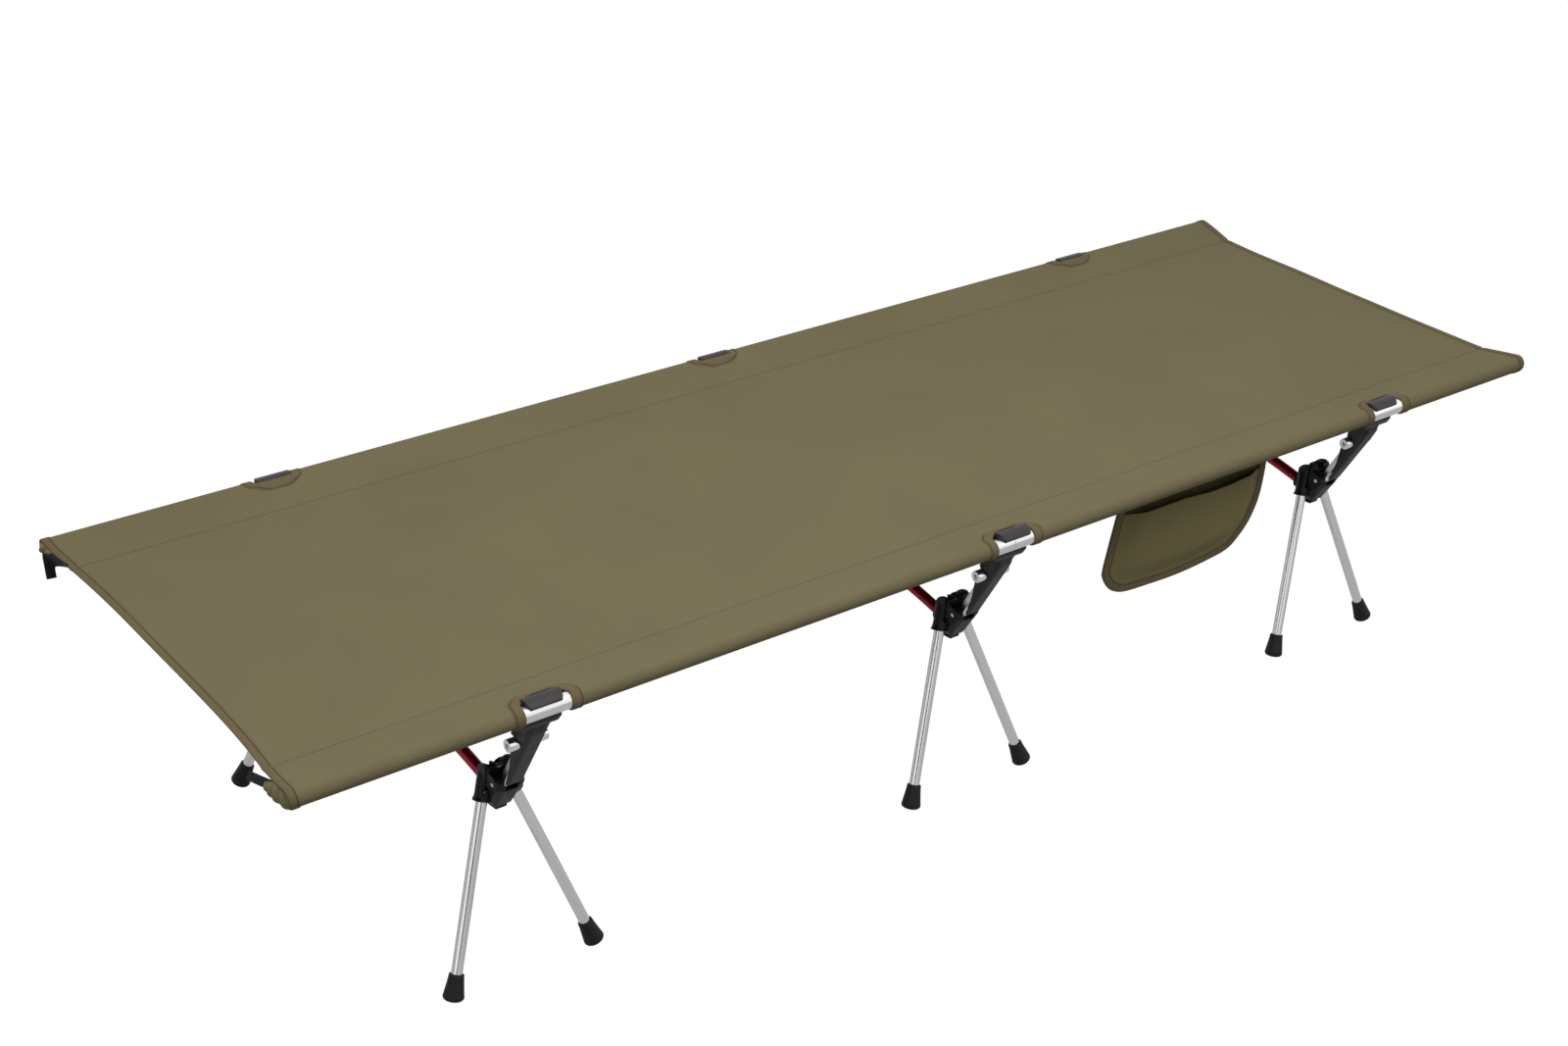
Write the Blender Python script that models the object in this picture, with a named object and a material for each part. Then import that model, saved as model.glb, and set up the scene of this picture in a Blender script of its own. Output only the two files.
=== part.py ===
# Camping cot: a taut fabric bed on two side poles, carried by three pairs of folding supports.
# Each support has a hub, two plug-in legs, an arched cross tube to the opposite hub, and a
# two-bar tensioner (link and lever) whose hook pushes the side pole outwards.
#
# Frame: metres, origin on the floor under the middle of the bed, X along the bed, Z up.
# The front side is -Y and the near end is -X.
# Support shapes are drawn in a support frame with its own y pointing outwards from the bed.

import math

import bmesh
import bpy
from mathutils import Matrix, Vector

# Bed
BED_LENGTH = 1.900
POLE_SPACING = 0.612
POLE_HEIGHT = 0.373
STATION_SPACING = 0.659
END_HOLLOW = 0.013

# Side poles
POLE_RADIUS = 0.010
POLE_WALL = 0.0012
POLE_END_INSET = 0.014
POLE_JOINT_X = -0.005
FERRULE_LENGTH = 0.120
FERRULE_WALL = 0.0012

# Fabric
FABRIC_THICKNESS = 0.0010
SLEEVE_DEPTH = 0.061
SEAM_WIDTH = 0.006
CUTOUT_HALF_LENGTH = 0.034
CUTOUT_REACH = 0.023
CUTOUT_POWER = 3.0
LOWER_CUTOUT_REACH = 0.054

# Tensioner
LEVER_REACH = 0.0669
LEVER_ANGLE = math.radians(58.45)
LINK_LENGTH = 0.0860
LINK_ANGLE = math.radians(60.8)
LINK_HALF_WIDTH = 0.0072
LINK_HALF_THICKNESS = 0.0040
LINK_EYE_RADIUS = 0.0070
LEVER_HALF_WIDTH = 0.0110
LEVER_WALL = 0.0024
LEVER_WEB = 0.0030
LEVER_FACE = 0.0128
LEVER_TAIL_GAP = 0.0120
LEVER_TRAVEL = math.radians(132)
BOSS_HALF_WIDTH = 0.0118
BOSS_WALL = 0.0014
HOOK_WALL = 0.0028
HOOK_HALF_LENGTH = 0.0255
TAB_HALF_LENGTH = 0.0235
HEAD_HALF_WIDTH = 0.0185
HOOK_FIRST_ANGLE = math.radians(57)
HOOK_LAST_ANGLE = math.radians(243)
PIN_RADIUS = 0.0047
PIN_HEAD_RADIUS = 0.0072
PIN_HEAD_LENGTH = 0.0110
PIN_SOCKET_RADIUS = 0.0034
PIN_SOCKET_DEPTH = 0.0040
PIVOT_RADIUS = 0.0025

# Hub
HUB_HALF_WIDTH = 0.0200
HUB_CORE_HALF_WIDTH = 0.0140
CHEEK_RADIUS = 0.0085
NOSE_HALF_WIDTH = 0.0098
SOCKET_WALL = 0.0027
SOCKET_LENGTH = 0.0310
SOCKET_LIP = 0.0014
TUBE_SOCKET_WALL = 0.0028
TUBE_SOCKET_LENGTH = 0.0260

# Legs and feet
LEG_RADIUS = 0.0065
LEG_WALL = 0.0010
LEG_ROOT_HALF_GAP = 0.0112
LEG_ROOT_BACK = 0.0260
LEG_ROOT_DROP = 0.0010
LEG_SPLAY_ALONG = 0.0835
LEG_SPLAY_OUT = 0.0575
FOOT_WALL = 0.0019
FOOT_BALL_RADIUS = 0.0122
FOOT_BALL_DEPTH = 0.0062
FOOT_BALL_HEIGHT = 0.0064
FOOT_LENGTH = 0.0320
FOOT_END_WALL = 0.0050

# Cross tube
TUBE_RADIUS = 0.0070
TUBE_WALL = 0.0012
TUBE_HUB_BACK = 0.0250
TUBE_HUB_DROP = 0.0246
TUBE_RISE = 0.0231
TUBE_INSERT = 0.0090

# Pocket on the front sleeve, between the middle and the far supports
POCKET_LEFT = 0.236
POCKET_RIGHT = 0.506
POCKET_LEFT_LEAN = -0.018
POCKET_RIGHT_LEAN = -0.040
POCKET_BOTTOM = 0.193
POCKET_MOUTH = 0.306
POCKET_CORNER = 0.036
POCKET_BULGE = 0.014
POCKET_SEAM = 0.005

# Clearances
TOUCH_GAP = 0.0003
RUNNING_GAP = 0.0003
HOOK_GAP = 0.0004
SIDE_GAP = 0.0006

POLE_SIDES = 20
ROUND_SIDES = 12
SMALL_SIDES = 10

STATIONS = (("near", -1), ("middle", 0), ("far", 1))
SIDES = (("front", -1), ("back", 1))

COLOURS = {
    "fabric": ((0.165, 0.140, 0.080), 0.85, 0.0),
    "silver": ((0.800, 0.800, 0.810), 0.30, 1.0),
    "black": ((0.022, 0.021, 0.022), 0.50, 0.0),
    "charcoal": ((0.042, 0.040, 0.042), 0.50, 0.0),
    "red": ((0.300, 0.006, 0.020), 0.22, 1.0),
    "rubber": ((0.015, 0.015, 0.015), 0.70, 0.0),
}


def pole_axis():
    return Vector((0, POLE_SPACING / 2, POLE_HEIGHT))


def lever_axis():
    reach = Vector((0, math.cos(LEVER_ANGLE), math.sin(LEVER_ANGLE))) * LEVER_REACH
    return pole_axis() - reach


def link_axis():
    reach = Vector((0, math.cos(LINK_ANGLE), math.sin(LINK_ANGLE))) * LINK_LENGTH
    return lever_axis() - reach


def strut_point(along, outward, x=0.0):
    # A point given along the link from its lower pivot, and square to it towards the outside.
    forward = Vector((0, math.cos(LINK_ANGLE), math.sin(LINK_ANGLE)))
    square = Vector((0, math.sin(LINK_ANGLE), -math.cos(LINK_ANGLE)))
    return link_axis() + forward * along + square * outward + Vector((x, 0, 0))


def leg_root(side):
    pivot = link_axis()
    return Vector((side * LEG_ROOT_HALF_GAP, pivot.y - LEG_ROOT_BACK, pivot.z - LEG_ROOT_DROP))


def leg_floor_point(side):
    root = leg_root(side)
    return Vector((root.x + side * LEG_SPLAY_ALONG, root.y + LEG_SPLAY_OUT, 0))


def leg_direction(side):
    return (leg_floor_point(side) - leg_root(side)).normalized()


def foot_centre(side):
    # The middle of the foot's domed end, on the leg's axis.
    direction = leg_direction(side)
    floor_point = leg_floor_point(side)
    return floor_point + direction * (FOOT_BALL_HEIGHT / direction.z)


def tube_hub_point():
    pivot = link_axis()
    return Vector((0, pivot.y - TUBE_HUB_BACK, pivot.z - TUBE_HUB_DROP))


def tube_bend_end():
    # The tube is bent between the hubs and straight inside their sockets.
    return tube_hub_point().y - TUBE_SOCKET_LENGTH


def tube_curve():
    bend = tube_bend_end()
    return TUBE_RISE / (bend ** 2 + 2 * bend * (tube_hub_point().y - bend))


def tube_slope(y):
    held = max(-tube_bend_end(), min(y, tube_bend_end()))
    return -2 * tube_curve() * held


def tube_height(y):
    bend = tube_bend_end()
    held = min(abs(y), bend)
    top = tube_hub_point().z + TUBE_RISE
    return top - tube_curve() * held ** 2 - 2 * tube_curve() * bend * (abs(y) - held)


def material(name):
    if name in bpy.data.materials:
        return bpy.data.materials[name]
    colour, roughness, metallic = COLOURS[name]
    made = bpy.data.materials.new(name)
    made.use_nodes = True
    shader = made.node_tree.nodes["Principled BSDF"]
    shader.inputs["Base Color"].default_value = (*colour, 1)
    shader.inputs["Roughness"].default_value = roughness
    shader.inputs["Metallic"].default_value = metallic
    return made


def mesh_object(name, work):
    bmesh.ops.recalc_face_normals(work, faces=work.faces)
    mesh = bpy.data.meshes.new(name)
    work.to_mesh(mesh)
    work.free()
    made = bpy.data.objects.new(name, mesh)
    bpy.context.scene.collection.objects.link(made)
    return made


def prism(name, outline, half_width):
    # An outline of (y, z) points carried along x from -half_width to +half_width.
    work = bmesh.new()
    corners = [work.verts.new((-half_width, y, z)) for y, z in outline]
    face = work.faces.new(corners)
    swept = bmesh.ops.extrude_face_region(work, geom=[face])
    moved = [item for item in swept["geom"] if isinstance(item, bmesh.types.BMVert)]
    bmesh.ops.translate(work, verts=moved, vec=(2 * half_width, 0, 0))
    return mesh_object(name, work)


def slab(name, outline, low, high):
    # An outline of (x, y) points carried up from low to high.
    work = bmesh.new()
    corners = [work.verts.new((x, y, low)) for x, y in outline]
    face = work.faces.new(corners)
    swept = bmesh.ops.extrude_face_region(work, geom=[face])
    moved = [item for item in swept["geom"] if isinstance(item, bmesh.types.BMVert)]
    bmesh.ops.translate(work, verts=moved, vec=(0, 0, high - low))
    return mesh_object(name, work)


def rod(name, start, end, radius, sides=ROUND_SIDES, end_radius=None):
    # A round bar or cone between two points.
    start = Vector(start)
    end = Vector(end)
    axis = end - start
    turn = Vector((0, 0, 1)).rotation_difference(axis).to_matrix().to_4x4()
    place = Matrix.Translation((start + end) / 2) @ turn
    work = bmesh.new()
    bmesh.ops.create_cone(work, cap_ends=True, segments=sides, radius1=radius,
                          radius2=radius if end_radius is None else end_radius,
                          depth=axis.length, matrix=place)
    return mesh_object(name, work)


def turned(name, profile, start, direction, sides=ROUND_SIDES):
    # A closed solid turned from (distance along the axis, radius) points.
    work = bmesh.new()
    points = [work.verts.new((radius, 0, along)) for along, radius in profile]
    edges = [work.edges.new((points[i], points[i + 1])) for i in range(len(points) - 1)]
    bmesh.ops.spin(work, geom=points + edges, cent=(0, 0, 0), axis=(0, 0, 1),
                   angle=2 * math.pi, steps=sides, use_merge=True)
    bmesh.ops.remove_doubles(work, verts=work.verts, dist=1e-6)
    turn = Vector((0, 0, 1)).rotation_difference(Vector(direction)).to_matrix().to_4x4()
    bmesh.ops.transform(work, matrix=Matrix.Translation(Vector(start)) @ turn, verts=work.verts)
    return mesh_object(name, work)


def combine(target, tool, operation):
    # The target keeps its name and takes the shape of the union, difference or intersection.
    step = target.modifiers.new("combine", "BOOLEAN")
    step.operation = operation
    step.solver = "EXACT"
    step.object = tool
    graph = bpy.context.evaluated_depsgraph_get()
    graph.update()
    shaped = bpy.data.meshes.new_from_object(target.evaluated_get(graph))
    target.modifiers.clear()
    target.data = shaped
    bpy.data.objects.remove(tool)
    return target


def join(target, tool):
    return combine(target, tool, "UNION")


def cut(target, tool):
    return combine(target, tool, "DIFFERENCE")


def finish(made, colour, origin=None):
    # Moves the object's origin to a point given in the frame that it was drawn in.
    if origin is not None:
        made.data.transform(Matrix.Translation(-Vector(origin)))
        made.location = origin
    made.data.materials.clear()
    made.data.materials.append(material(colour))
    made.data.shade_smooth()
    made.data.set_sharp_from_angle(angle=math.radians(35))
    return made


def copy_of(source, name):
    made = bpy.data.objects.new(name, source.data)
    made.location = source.location
    bpy.context.scene.collection.objects.link(made)
    return made


def arc(centre, radius, first, last, steps):
    # Points of (y, z) on an arc, first and last included.
    points = []
    for i in range(steps + 1):
        angle = first + (last - first) * i / steps
        points.append((centre[0] + radius * math.cos(angle), centre[1] + radius * math.sin(angle)))
    return points


def hub_mesh():
    pivot = link_axis()
    y = pivot.y
    z = pivot.z
    # The core carries the sockets, and its two cheeks hold the link's pivot.
    core = [
        (y - 0.033, z - 0.030), (y - 0.033, z + 0.006), (y - 0.028, z + 0.012),
        (y - 0.010, z + 0.016), (y - 0.004, z + 0.010), (y + 0.001, z - 0.012),
        (y - 0.012, z - 0.032), (y - 0.020, z - 0.036), (y - 0.028, z - 0.034),
    ]
    hub = prism("hub", core, HUB_CORE_HALF_WIDTH)
    cheek = arc((y, z), CHEEK_RADIUS, math.radians(-95), math.radians(75), 8)
    cheek += [(y - 0.001, z + 0.019), (y - 0.009, z + 0.021), (y - 0.020, z + 0.013)]
    cheek += [(y - 0.022, z - 0.016), (y - 0.010, z - 0.024)]
    join(hub, prism("cheek", cheek, HUB_HALF_WIDTH))
    nose = [
        (y - 0.006, z - 0.004), (y + 0.0110, z - 0.0020), (y + 0.0085, z - 0.006),
        (y - 0.004, z - 0.021), (y - 0.012, z - 0.037), (y - 0.022, z - 0.037),
        (y - 0.020, z - 0.020),
    ]
    join(hub, prism("nose", nose, NOSE_HALF_WIDTH))
    hook_lip = [
        (y - 0.021, z - 0.032), (y - 0.011, z - 0.034), (y - 0.0085, z - 0.038),
        (y - 0.0085, z - 0.042), (y - 0.012, z - 0.0445), (y - 0.022, z - 0.0415),
    ]
    join(hub, prism("hook_lip", hook_lip, NOSE_HALF_WIDTH - 0.001))
    # A round socket for each leg, with a lip round its mouth.
    socket_radius = LEG_RADIUS + RUNNING_GAP + SOCKET_WALL
    for side in (-1, 1):
        root = leg_root(side)
        way = leg_direction(side)
        mouth = root + way * SOCKET_LENGTH
        join(hub, rod("socket", root - way * 0.004, mouth, socket_radius))
        join(hub, rod("lip", mouth - way * 0.007, mouth + way * 0.0002, socket_radius - 0.0002,
                      end_radius=socket_radius + SOCKET_LIP))
    # The cross tube's socket points at the opposite hub.
    tube_y = tube_hub_point().y
    tube_way = Vector((0, 1, tube_slope(tube_y))).normalized()
    tube_mid = Vector((0, tube_y, tube_height(tube_y)))
    tube_outer = TUBE_RADIUS + RUNNING_GAP + TUBE_SOCKET_WALL
    join(hub, rod("tube_socket", tube_mid - tube_way * (TUBE_SOCKET_LENGTH - 0.006),
                  tube_mid + tube_way * (TUBE_INSERT + 0.003), tube_outer))
    # Bores, the link's slot and the pivot's hole.
    for side in (-1, 1):
        root = leg_root(side)
        way = leg_direction(side)
        cut(hub, rod("leg_bore", root, root + way * (SOCKET_LENGTH + 0.02),
                     LEG_RADIUS + RUNNING_GAP))
    cut(hub, rod("tube_bore", tube_mid - tube_way * (TUBE_SOCKET_LENGTH + 0.02),
                 tube_mid + tube_way * (TUBE_INSERT + RUNNING_GAP), TUBE_RADIUS + RUNNING_GAP))
    slot_radius = LINK_EYE_RADIUS + SIDE_GAP
    slot = arc((y, z), slot_radius, math.radians(180), math.radians(270), 6)
    slot += [(y + 0.04, z - slot_radius), (y + 0.04, z + 0.05), (y - slot_radius, z + 0.05)]
    cut(hub, prism("slot", slot, LINK_HALF_WIDTH + SIDE_GAP))
    cut(hub, rod("pivot_hole", (-0.03, y, z), (0.03, y, z), PIVOT_RADIUS + RUNNING_GAP,
                 sides=SMALL_SIDES))
    return finish(hub, "black")


def link_mesh():
    pivot = link_axis()
    top = lever_axis()
    # A flat bar with a round eye at each end.
    neck = math.asin(LINK_HALF_THICKNESS / LINK_EYE_RADIUS)
    outline = arc(pivot.yz, LINK_EYE_RADIUS, LINK_ANGLE + neck,
                  LINK_ANGLE + 2 * math.pi - neck, 7)
    outline += arc(top.yz, LINK_EYE_RADIUS, LINK_ANGLE - math.pi + neck,
                   LINK_ANGLE + math.pi - neck, 7)
    link = prism("link", outline, LINK_HALF_WIDTH)
    cut(link, rod("pin_bore", (-0.03, top.y, top.z), (0.03, top.y, top.z),
                  PIN_RADIUS + RUNNING_GAP))
    pivot_end = HUB_HALF_WIDTH + TOUCH_GAP
    join(link, rod("pivot", (-pivot_end, pivot.y, pivot.z), (pivot_end, pivot.y, pivot.z),
                   PIVOT_RADIUS, sides=SMALL_SIDES))
    return finish(link, "silver", origin=pivot)


def lever_mesh():
    hinge = lever_axis()
    pole = pole_axis()
    tail = LEVER_TAIL_GAP
    hook_inner = POLE_RADIUS + HOOK_GAP
    hook_outer = hook_inner + HOOK_WALL
    # The arm: a channel that is deep at the pin and thin at the tail.
    top = LINK_LENGTH
    crown_end = LINK_LENGTH + LEVER_REACH
    arm = [strut_point(s, n) for s, n in (
        (tail, 0.0095), (tail + 0.009, 0.0088), (top / 2, 0.0036), (top - 0.026, -0.0030),
        (top - 0.012, -0.0080), (top + 0.004, -0.0090), (top + 0.020, -0.0080),
        (crown_end - 0.0289, -0.0060), (crown_end - 0.0169, 0.0020),
        (crown_end - 0.0189, LEVER_FACE + 0.0015), (top + 0.024, LEVER_FACE + 0.0015),
        (top + 0.020, LEVER_FACE), (tail + 0.001, LEVER_FACE))]
    lever = prism("lever", [tuple(point.yz) for point in arm], LEVER_HALF_WIDTH)
    # The head widens from the arm to the length of the hook.
    head = bmesh.new()
    low = [strut_point(top + 0.010, n, x) for n, x in (
        (-0.0080, -HEAD_HALF_WIDTH), (-0.0080, HEAD_HALF_WIDTH),
        (LEVER_FACE - 0.0006, LEVER_HALF_WIDTH + 0.0004),
        (LEVER_FACE - 0.0006, -LEVER_HALF_WIDTH - 0.0004))]
    high = [strut_point(crown_end - 0.0134, n, x) for n, x in (
        (-0.0080, -TAB_HALF_LENGTH), (-0.0080, TAB_HALF_LENGTH),
        (0.0095, TAB_HALF_LENGTH - 0.004), (0.0095, -TAB_HALF_LENGTH + 0.004))]
    base = [head.verts.new(point) for point in low]
    crown = [head.verts.new(point) for point in high]
    head.faces.new(base)
    head.faces.new(crown)
    for i in range(4):
        j = (i + 1) % 4
        head.faces.new((base[i], base[j], crown[j], crown[i]))
    join(lever, mesh_object("head", head))
    # The hook is half a ring round the inner side of the pole, and its upper end is the tab.
    middle = (HOOK_FIRST_ANGLE + HOOK_LAST_ANGLE) / 2
    tab = arc(pole.yz, hook_outer, HOOK_FIRST_ANGLE, middle, 5)
    tab += arc(pole.yz, hook_inner - 0.001, middle, HOOK_FIRST_ANGLE, 5)
    join(lever, prism("tab", tab, TAB_HALF_LENGTH))
    trough = arc(pole.yz, hook_outer, middle - 0.2, HOOK_LAST_ANGLE, 6)
    trough += arc(pole.yz, hook_inner - 0.001, HOOK_LAST_ANGLE, middle - 0.2, 6)
    join(lever, prism("trough", trough, HOOK_HALF_LENGTH))
    lip = [(pole.y - 0.0135, pole.z - 0.008), (pole.y - 0.0055, pole.z - 0.008),
           (pole.y - 0.0018, pole.z - 0.0128), (pole.y - 0.0030, pole.z - 0.0200),
           (pole.y - 0.0070, pole.z - 0.0220), (pole.y - 0.0130, pole.z - 0.0180)]
    join(lever, prism("lip", lip, HOOK_HALF_LENGTH))
    boss = arc(hinge.yz, PIN_HEAD_RADIUS + BOSS_WALL, 0, 2 * math.pi * (1 - 1 / ROUND_SIDES),
               ROUND_SIDES - 1)
    join(lever, prism("boss", boss, BOSS_HALF_WIDTH))
    # Room for the pole, the link and the pin.
    cut(lever, rod("pole_room", (-0.05, pole.y, pole.z), (0.05, pole.y, pole.z), hook_inner,
                   sides=POLE_SIDES))
    inner = LEVER_HALF_WIDTH - LEVER_WALL
    web = LEVER_FACE - LEVER_WEB
    room = [tuple(strut_point(s, n).yz) for s, n in (
        (tail - 0.01, -0.05), (tail - 0.01, web), (LINK_LENGTH, web))]
    # The room's upper side runs along the link's face where the link stands at full opening.
    beside = LINK_HALF_THICKNESS + SIDE_GAP
    rise = math.pi - LEVER_TRAVEL
    meet = rise - math.asin(beside / web)
    first = LINK_ANGLE - math.pi / 2
    room += arc(hinge.yz, web, first + 0.3, LINK_ANGLE + meet, 7)
    reach = 0.04
    room += [tuple(strut_point(LINK_LENGTH + reach * math.cos(rise) + beside * math.sin(rise),
                               beside * math.cos(rise) - reach * math.sin(rise)).yz)]
    cut(lever, prism("link_room", room, inner))
    cut(lever, rod("pin_hole", (-0.03, hinge.y, hinge.z), (0.03, hinge.y, hinge.z),
                   PIN_RADIUS + RUNNING_GAP))
    return finish(lever, "charcoal", origin=hinge)


def pin_mesh():
    hinge = lever_axis()
    shoulder = BOSS_HALF_WIDTH + TOUCH_GAP
    end = shoulder + PIN_HEAD_LENGTH
    chamfer = 0.0008
    half = [(shoulder, PIN_RADIUS), (shoulder, PIN_HEAD_RADIUS), (end - chamfer, PIN_HEAD_RADIUS),
            (end, PIN_HEAD_RADIUS - chamfer), (end, 0)]
    profile = [(-along, radius) for along, radius in reversed(half)] + half
    pin = turned("pin", profile, (0, hinge.y, hinge.z), (1, 0, 0))
    for side in (-1, 1):
        cut(pin, rod("socket", (side * (end - PIN_SOCKET_DEPTH), hinge.y, hinge.z),
                     (side * (end + 0.01), hinge.y, hinge.z), PIN_SOCKET_RADIUS, sides=6))
    return finish(pin, "silver", origin=hinge)


def leg_mesh(side):
    way = leg_direction(side)
    top = leg_root(side) + way * TOUCH_GAP
    bottom = foot_centre(side) - way * FOOT_END_WALL
    leg = rod("leg", top, bottom, LEG_RADIUS)
    cut(leg, rod("leg_bore", top - way * 0.01, bottom + way * 0.01, LEG_RADIUS - LEG_WALL))
    return finish(leg, "silver")


def foot_mesh(side):
    way = leg_direction(side)
    centre = foot_centre(side)
    waist = FOOT_LENGTH - FOOT_BALL_DEPTH
    top = centre - way * waist
    profile = [(0, 0), (0, LEG_RADIUS + RUNNING_GAP + FOOT_WALL)]
    steps = 3
    for i in range(steps + 1):
        angle = math.pi / 2 * i / steps
        profile.append((waist + FOOT_BALL_DEPTH * math.sin(angle),
                        FOOT_BALL_RADIUS * math.cos(angle)))
    foot = turned("foot", profile, top, way)
    floor = slab("floor", [(-1, -1), (1, -1), (1, 1), (-1, 1)], -0.05, 0)
    cut(foot, floor)
    bore_end = centre - way * (FOOT_END_WALL - TOUCH_GAP)
    cut(foot, rod("foot_bore", top - way * 0.01, bore_end, LEG_RADIUS + RUNNING_GAP))
    return finish(foot, "rubber")


def cross_tube(name, x):
    # A round tube bent to a shallow arch between two hubs.
    reach = tube_hub_point().y + TUBE_INSERT * 0.97
    rings = 8
    sides = ROUND_SIDES
    work = bmesh.new()
    circles = []
    bend = tube_bend_end()
    places = [-reach] + [-bend + 2 * bend * i / rings for i in range(rings + 1)] + [reach]
    for radius in (TUBE_RADIUS, TUBE_RADIUS - TUBE_WALL):
        rows = []
        for y in places:
            lean = math.atan(tube_slope(y))
            row = []
            for k in range(sides):
                angle = 2 * math.pi * k / sides
                off = radius * math.sin(angle)
                row.append(work.verts.new((x + radius * math.cos(angle),
                                           y - off * math.sin(lean),
                                           tube_height(y) + off * math.cos(lean))))
            rows.append(row)
        circles.append(rows)
    for rows in circles:
        for lower, upper in zip(rows, rows[1:]):
            for k in range(sides):
                m = (k + 1) % sides
                work.faces.new((lower[k], lower[m], upper[m], upper[k]))
    for end in (0, -1):
        outer = circles[0][end]
        inner = circles[1][end]
        for k in range(sides):
            m = (k + 1) % sides
            work.faces.new((outer[k], outer[m], inner[m], inner[k]))
    return finish(mesh_object(name, work), "red")


def pole_half(name, side, end_sign):
    y = side * POLE_SPACING / 2
    end = end_sign * (BED_LENGTH / 2 - POLE_END_INSET)
    joint = POLE_JOINT_X + end_sign * TOUCH_GAP / 2
    pole = rod(name, (joint, y, POLE_HEIGHT), (end, y, POLE_HEIGHT), POLE_RADIUS, sides=POLE_SIDES)
    cut(pole, rod("pole_bore", (joint - end_sign * 0.01, y, POLE_HEIGHT),
                  (end + end_sign * 0.01, y, POLE_HEIGHT), POLE_RADIUS - POLE_WALL, sides=POLE_SIDES))
    return finish(pole, "silver")


def ferrule(name, side):
    y = side * POLE_SPACING / 2
    # The flats of the pole's bore come closer to the axis than its corners.
    fit = (POLE_RADIUS - POLE_WALL) * math.cos(math.pi / POLE_SIDES) - RUNNING_GAP
    start = (POLE_JOINT_X - FERRULE_LENGTH / 2, y, POLE_HEIGHT)
    end = (POLE_JOINT_X + FERRULE_LENGTH / 2, y, POLE_HEIGHT)
    made = rod(name, start, end, fit, sides=POLE_SIDES)
    cut(made, rod("ferrule_bore", (start[0] - 0.01, y, POLE_HEIGHT),
                  (end[0] + 0.01, y, POLE_HEIGHT), fit - FERRULE_WALL, sides=POLE_SIDES))
    return finish(made, "silver")


def sleeve_outline(radius, tip):
    # A teardrop round the pole: an arc that two straight sides close at the seam.
    pole = pole_axis()
    distance = pole.y - tip
    half = math.acos(radius / distance)
    return arc(pole.yz, radius, math.pi - half, -math.pi + half, 14)


def bed_fabric():
    pole = pole_axis()
    seam_y = pole.y - SLEEVE_DEPTH
    inner = POLE_RADIUS + TOUCH_GAP
    outer = inner + FABRIC_THICKNESS
    half_sheet = FABRIC_THICKNESS / 2
    loop = sleeve_outline(outer, seam_y)
    right = [(seam_y, pole.z + half_sheet)] + loop + [(seam_y, pole.z - half_sheet)]
    left = [(-y, z) for y, z in reversed(right)]
    fabric = prism("bed_fabric", right + left, BED_LENGTH / 2)
    tip = (seam_y + SEAM_WIDTH, pole.z)
    hollow = sleeve_outline(inner, tip[0]) + [tip]
    for side in (-1, 1):
        tunnel = [(side * y, z) for y, z in hollow]
        cut(fabric, prism("tunnel", tunnel, BED_LENGTH))
    # The hollow curve of each end.
    steps = 12
    for end_sign in (-1, 1):
        curve = []
        for i in range(steps + 1):
            across = -1 + 2 * i / steps
            x = BED_LENGTH / 2 - END_HOLLOW * (1 - across ** 2)
            curve.append((end_sign * x, across * pole.y))
        far = end_sign * (BED_LENGTH / 2 + 0.05)
        outline = curve + [(far, pole.y), (far, -pole.y)]
        cut(fabric, slab("end_curve", outline, pole.z - 0.05, pole.z + 0.05))
    # The cut-outs that let the hooks reach the poles.
    for _, station in STATIONS:
        x = station * STATION_SPACING
        for _, side in SIDES:
            edge = []
            steps = 12
            for i in range(steps + 1):
                angle = math.pi * i / steps
                c = math.cos(angle)
                s = math.sin(angle)
                along = math.copysign(abs(c) ** (2 / CUTOUT_POWER), c) * CUTOUT_HALF_LENGTH
                reach = abs(s) ** (2 / CUTOUT_POWER) * CUTOUT_REACH
                edge.append((x + along, side * (pole.y - reach)))
            beyond = side * (pole.y + 0.03)
            edge += [(x - CUTOUT_HALF_LENGTH, beyond), (x + CUTOUT_HALF_LENGTH, beyond)]
            cut(fabric, slab("cutout", edge, pole.z - 0.05, pole.z + 0.05))
            first = side * (pole.y - LOWER_CUTOUT_REACH)
            under = [(x - CUTOUT_HALF_LENGTH, first), (x + CUTOUT_HALF_LENGTH, first),
                     (x + CUTOUT_HALF_LENGTH, beyond), (x - CUTOUT_HALF_LENGTH, beyond)]
            cut(fabric, slab("lower_cutout", under, pole.z - 0.05, pole.z))
    return finish(fabric, "fabric")


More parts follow.
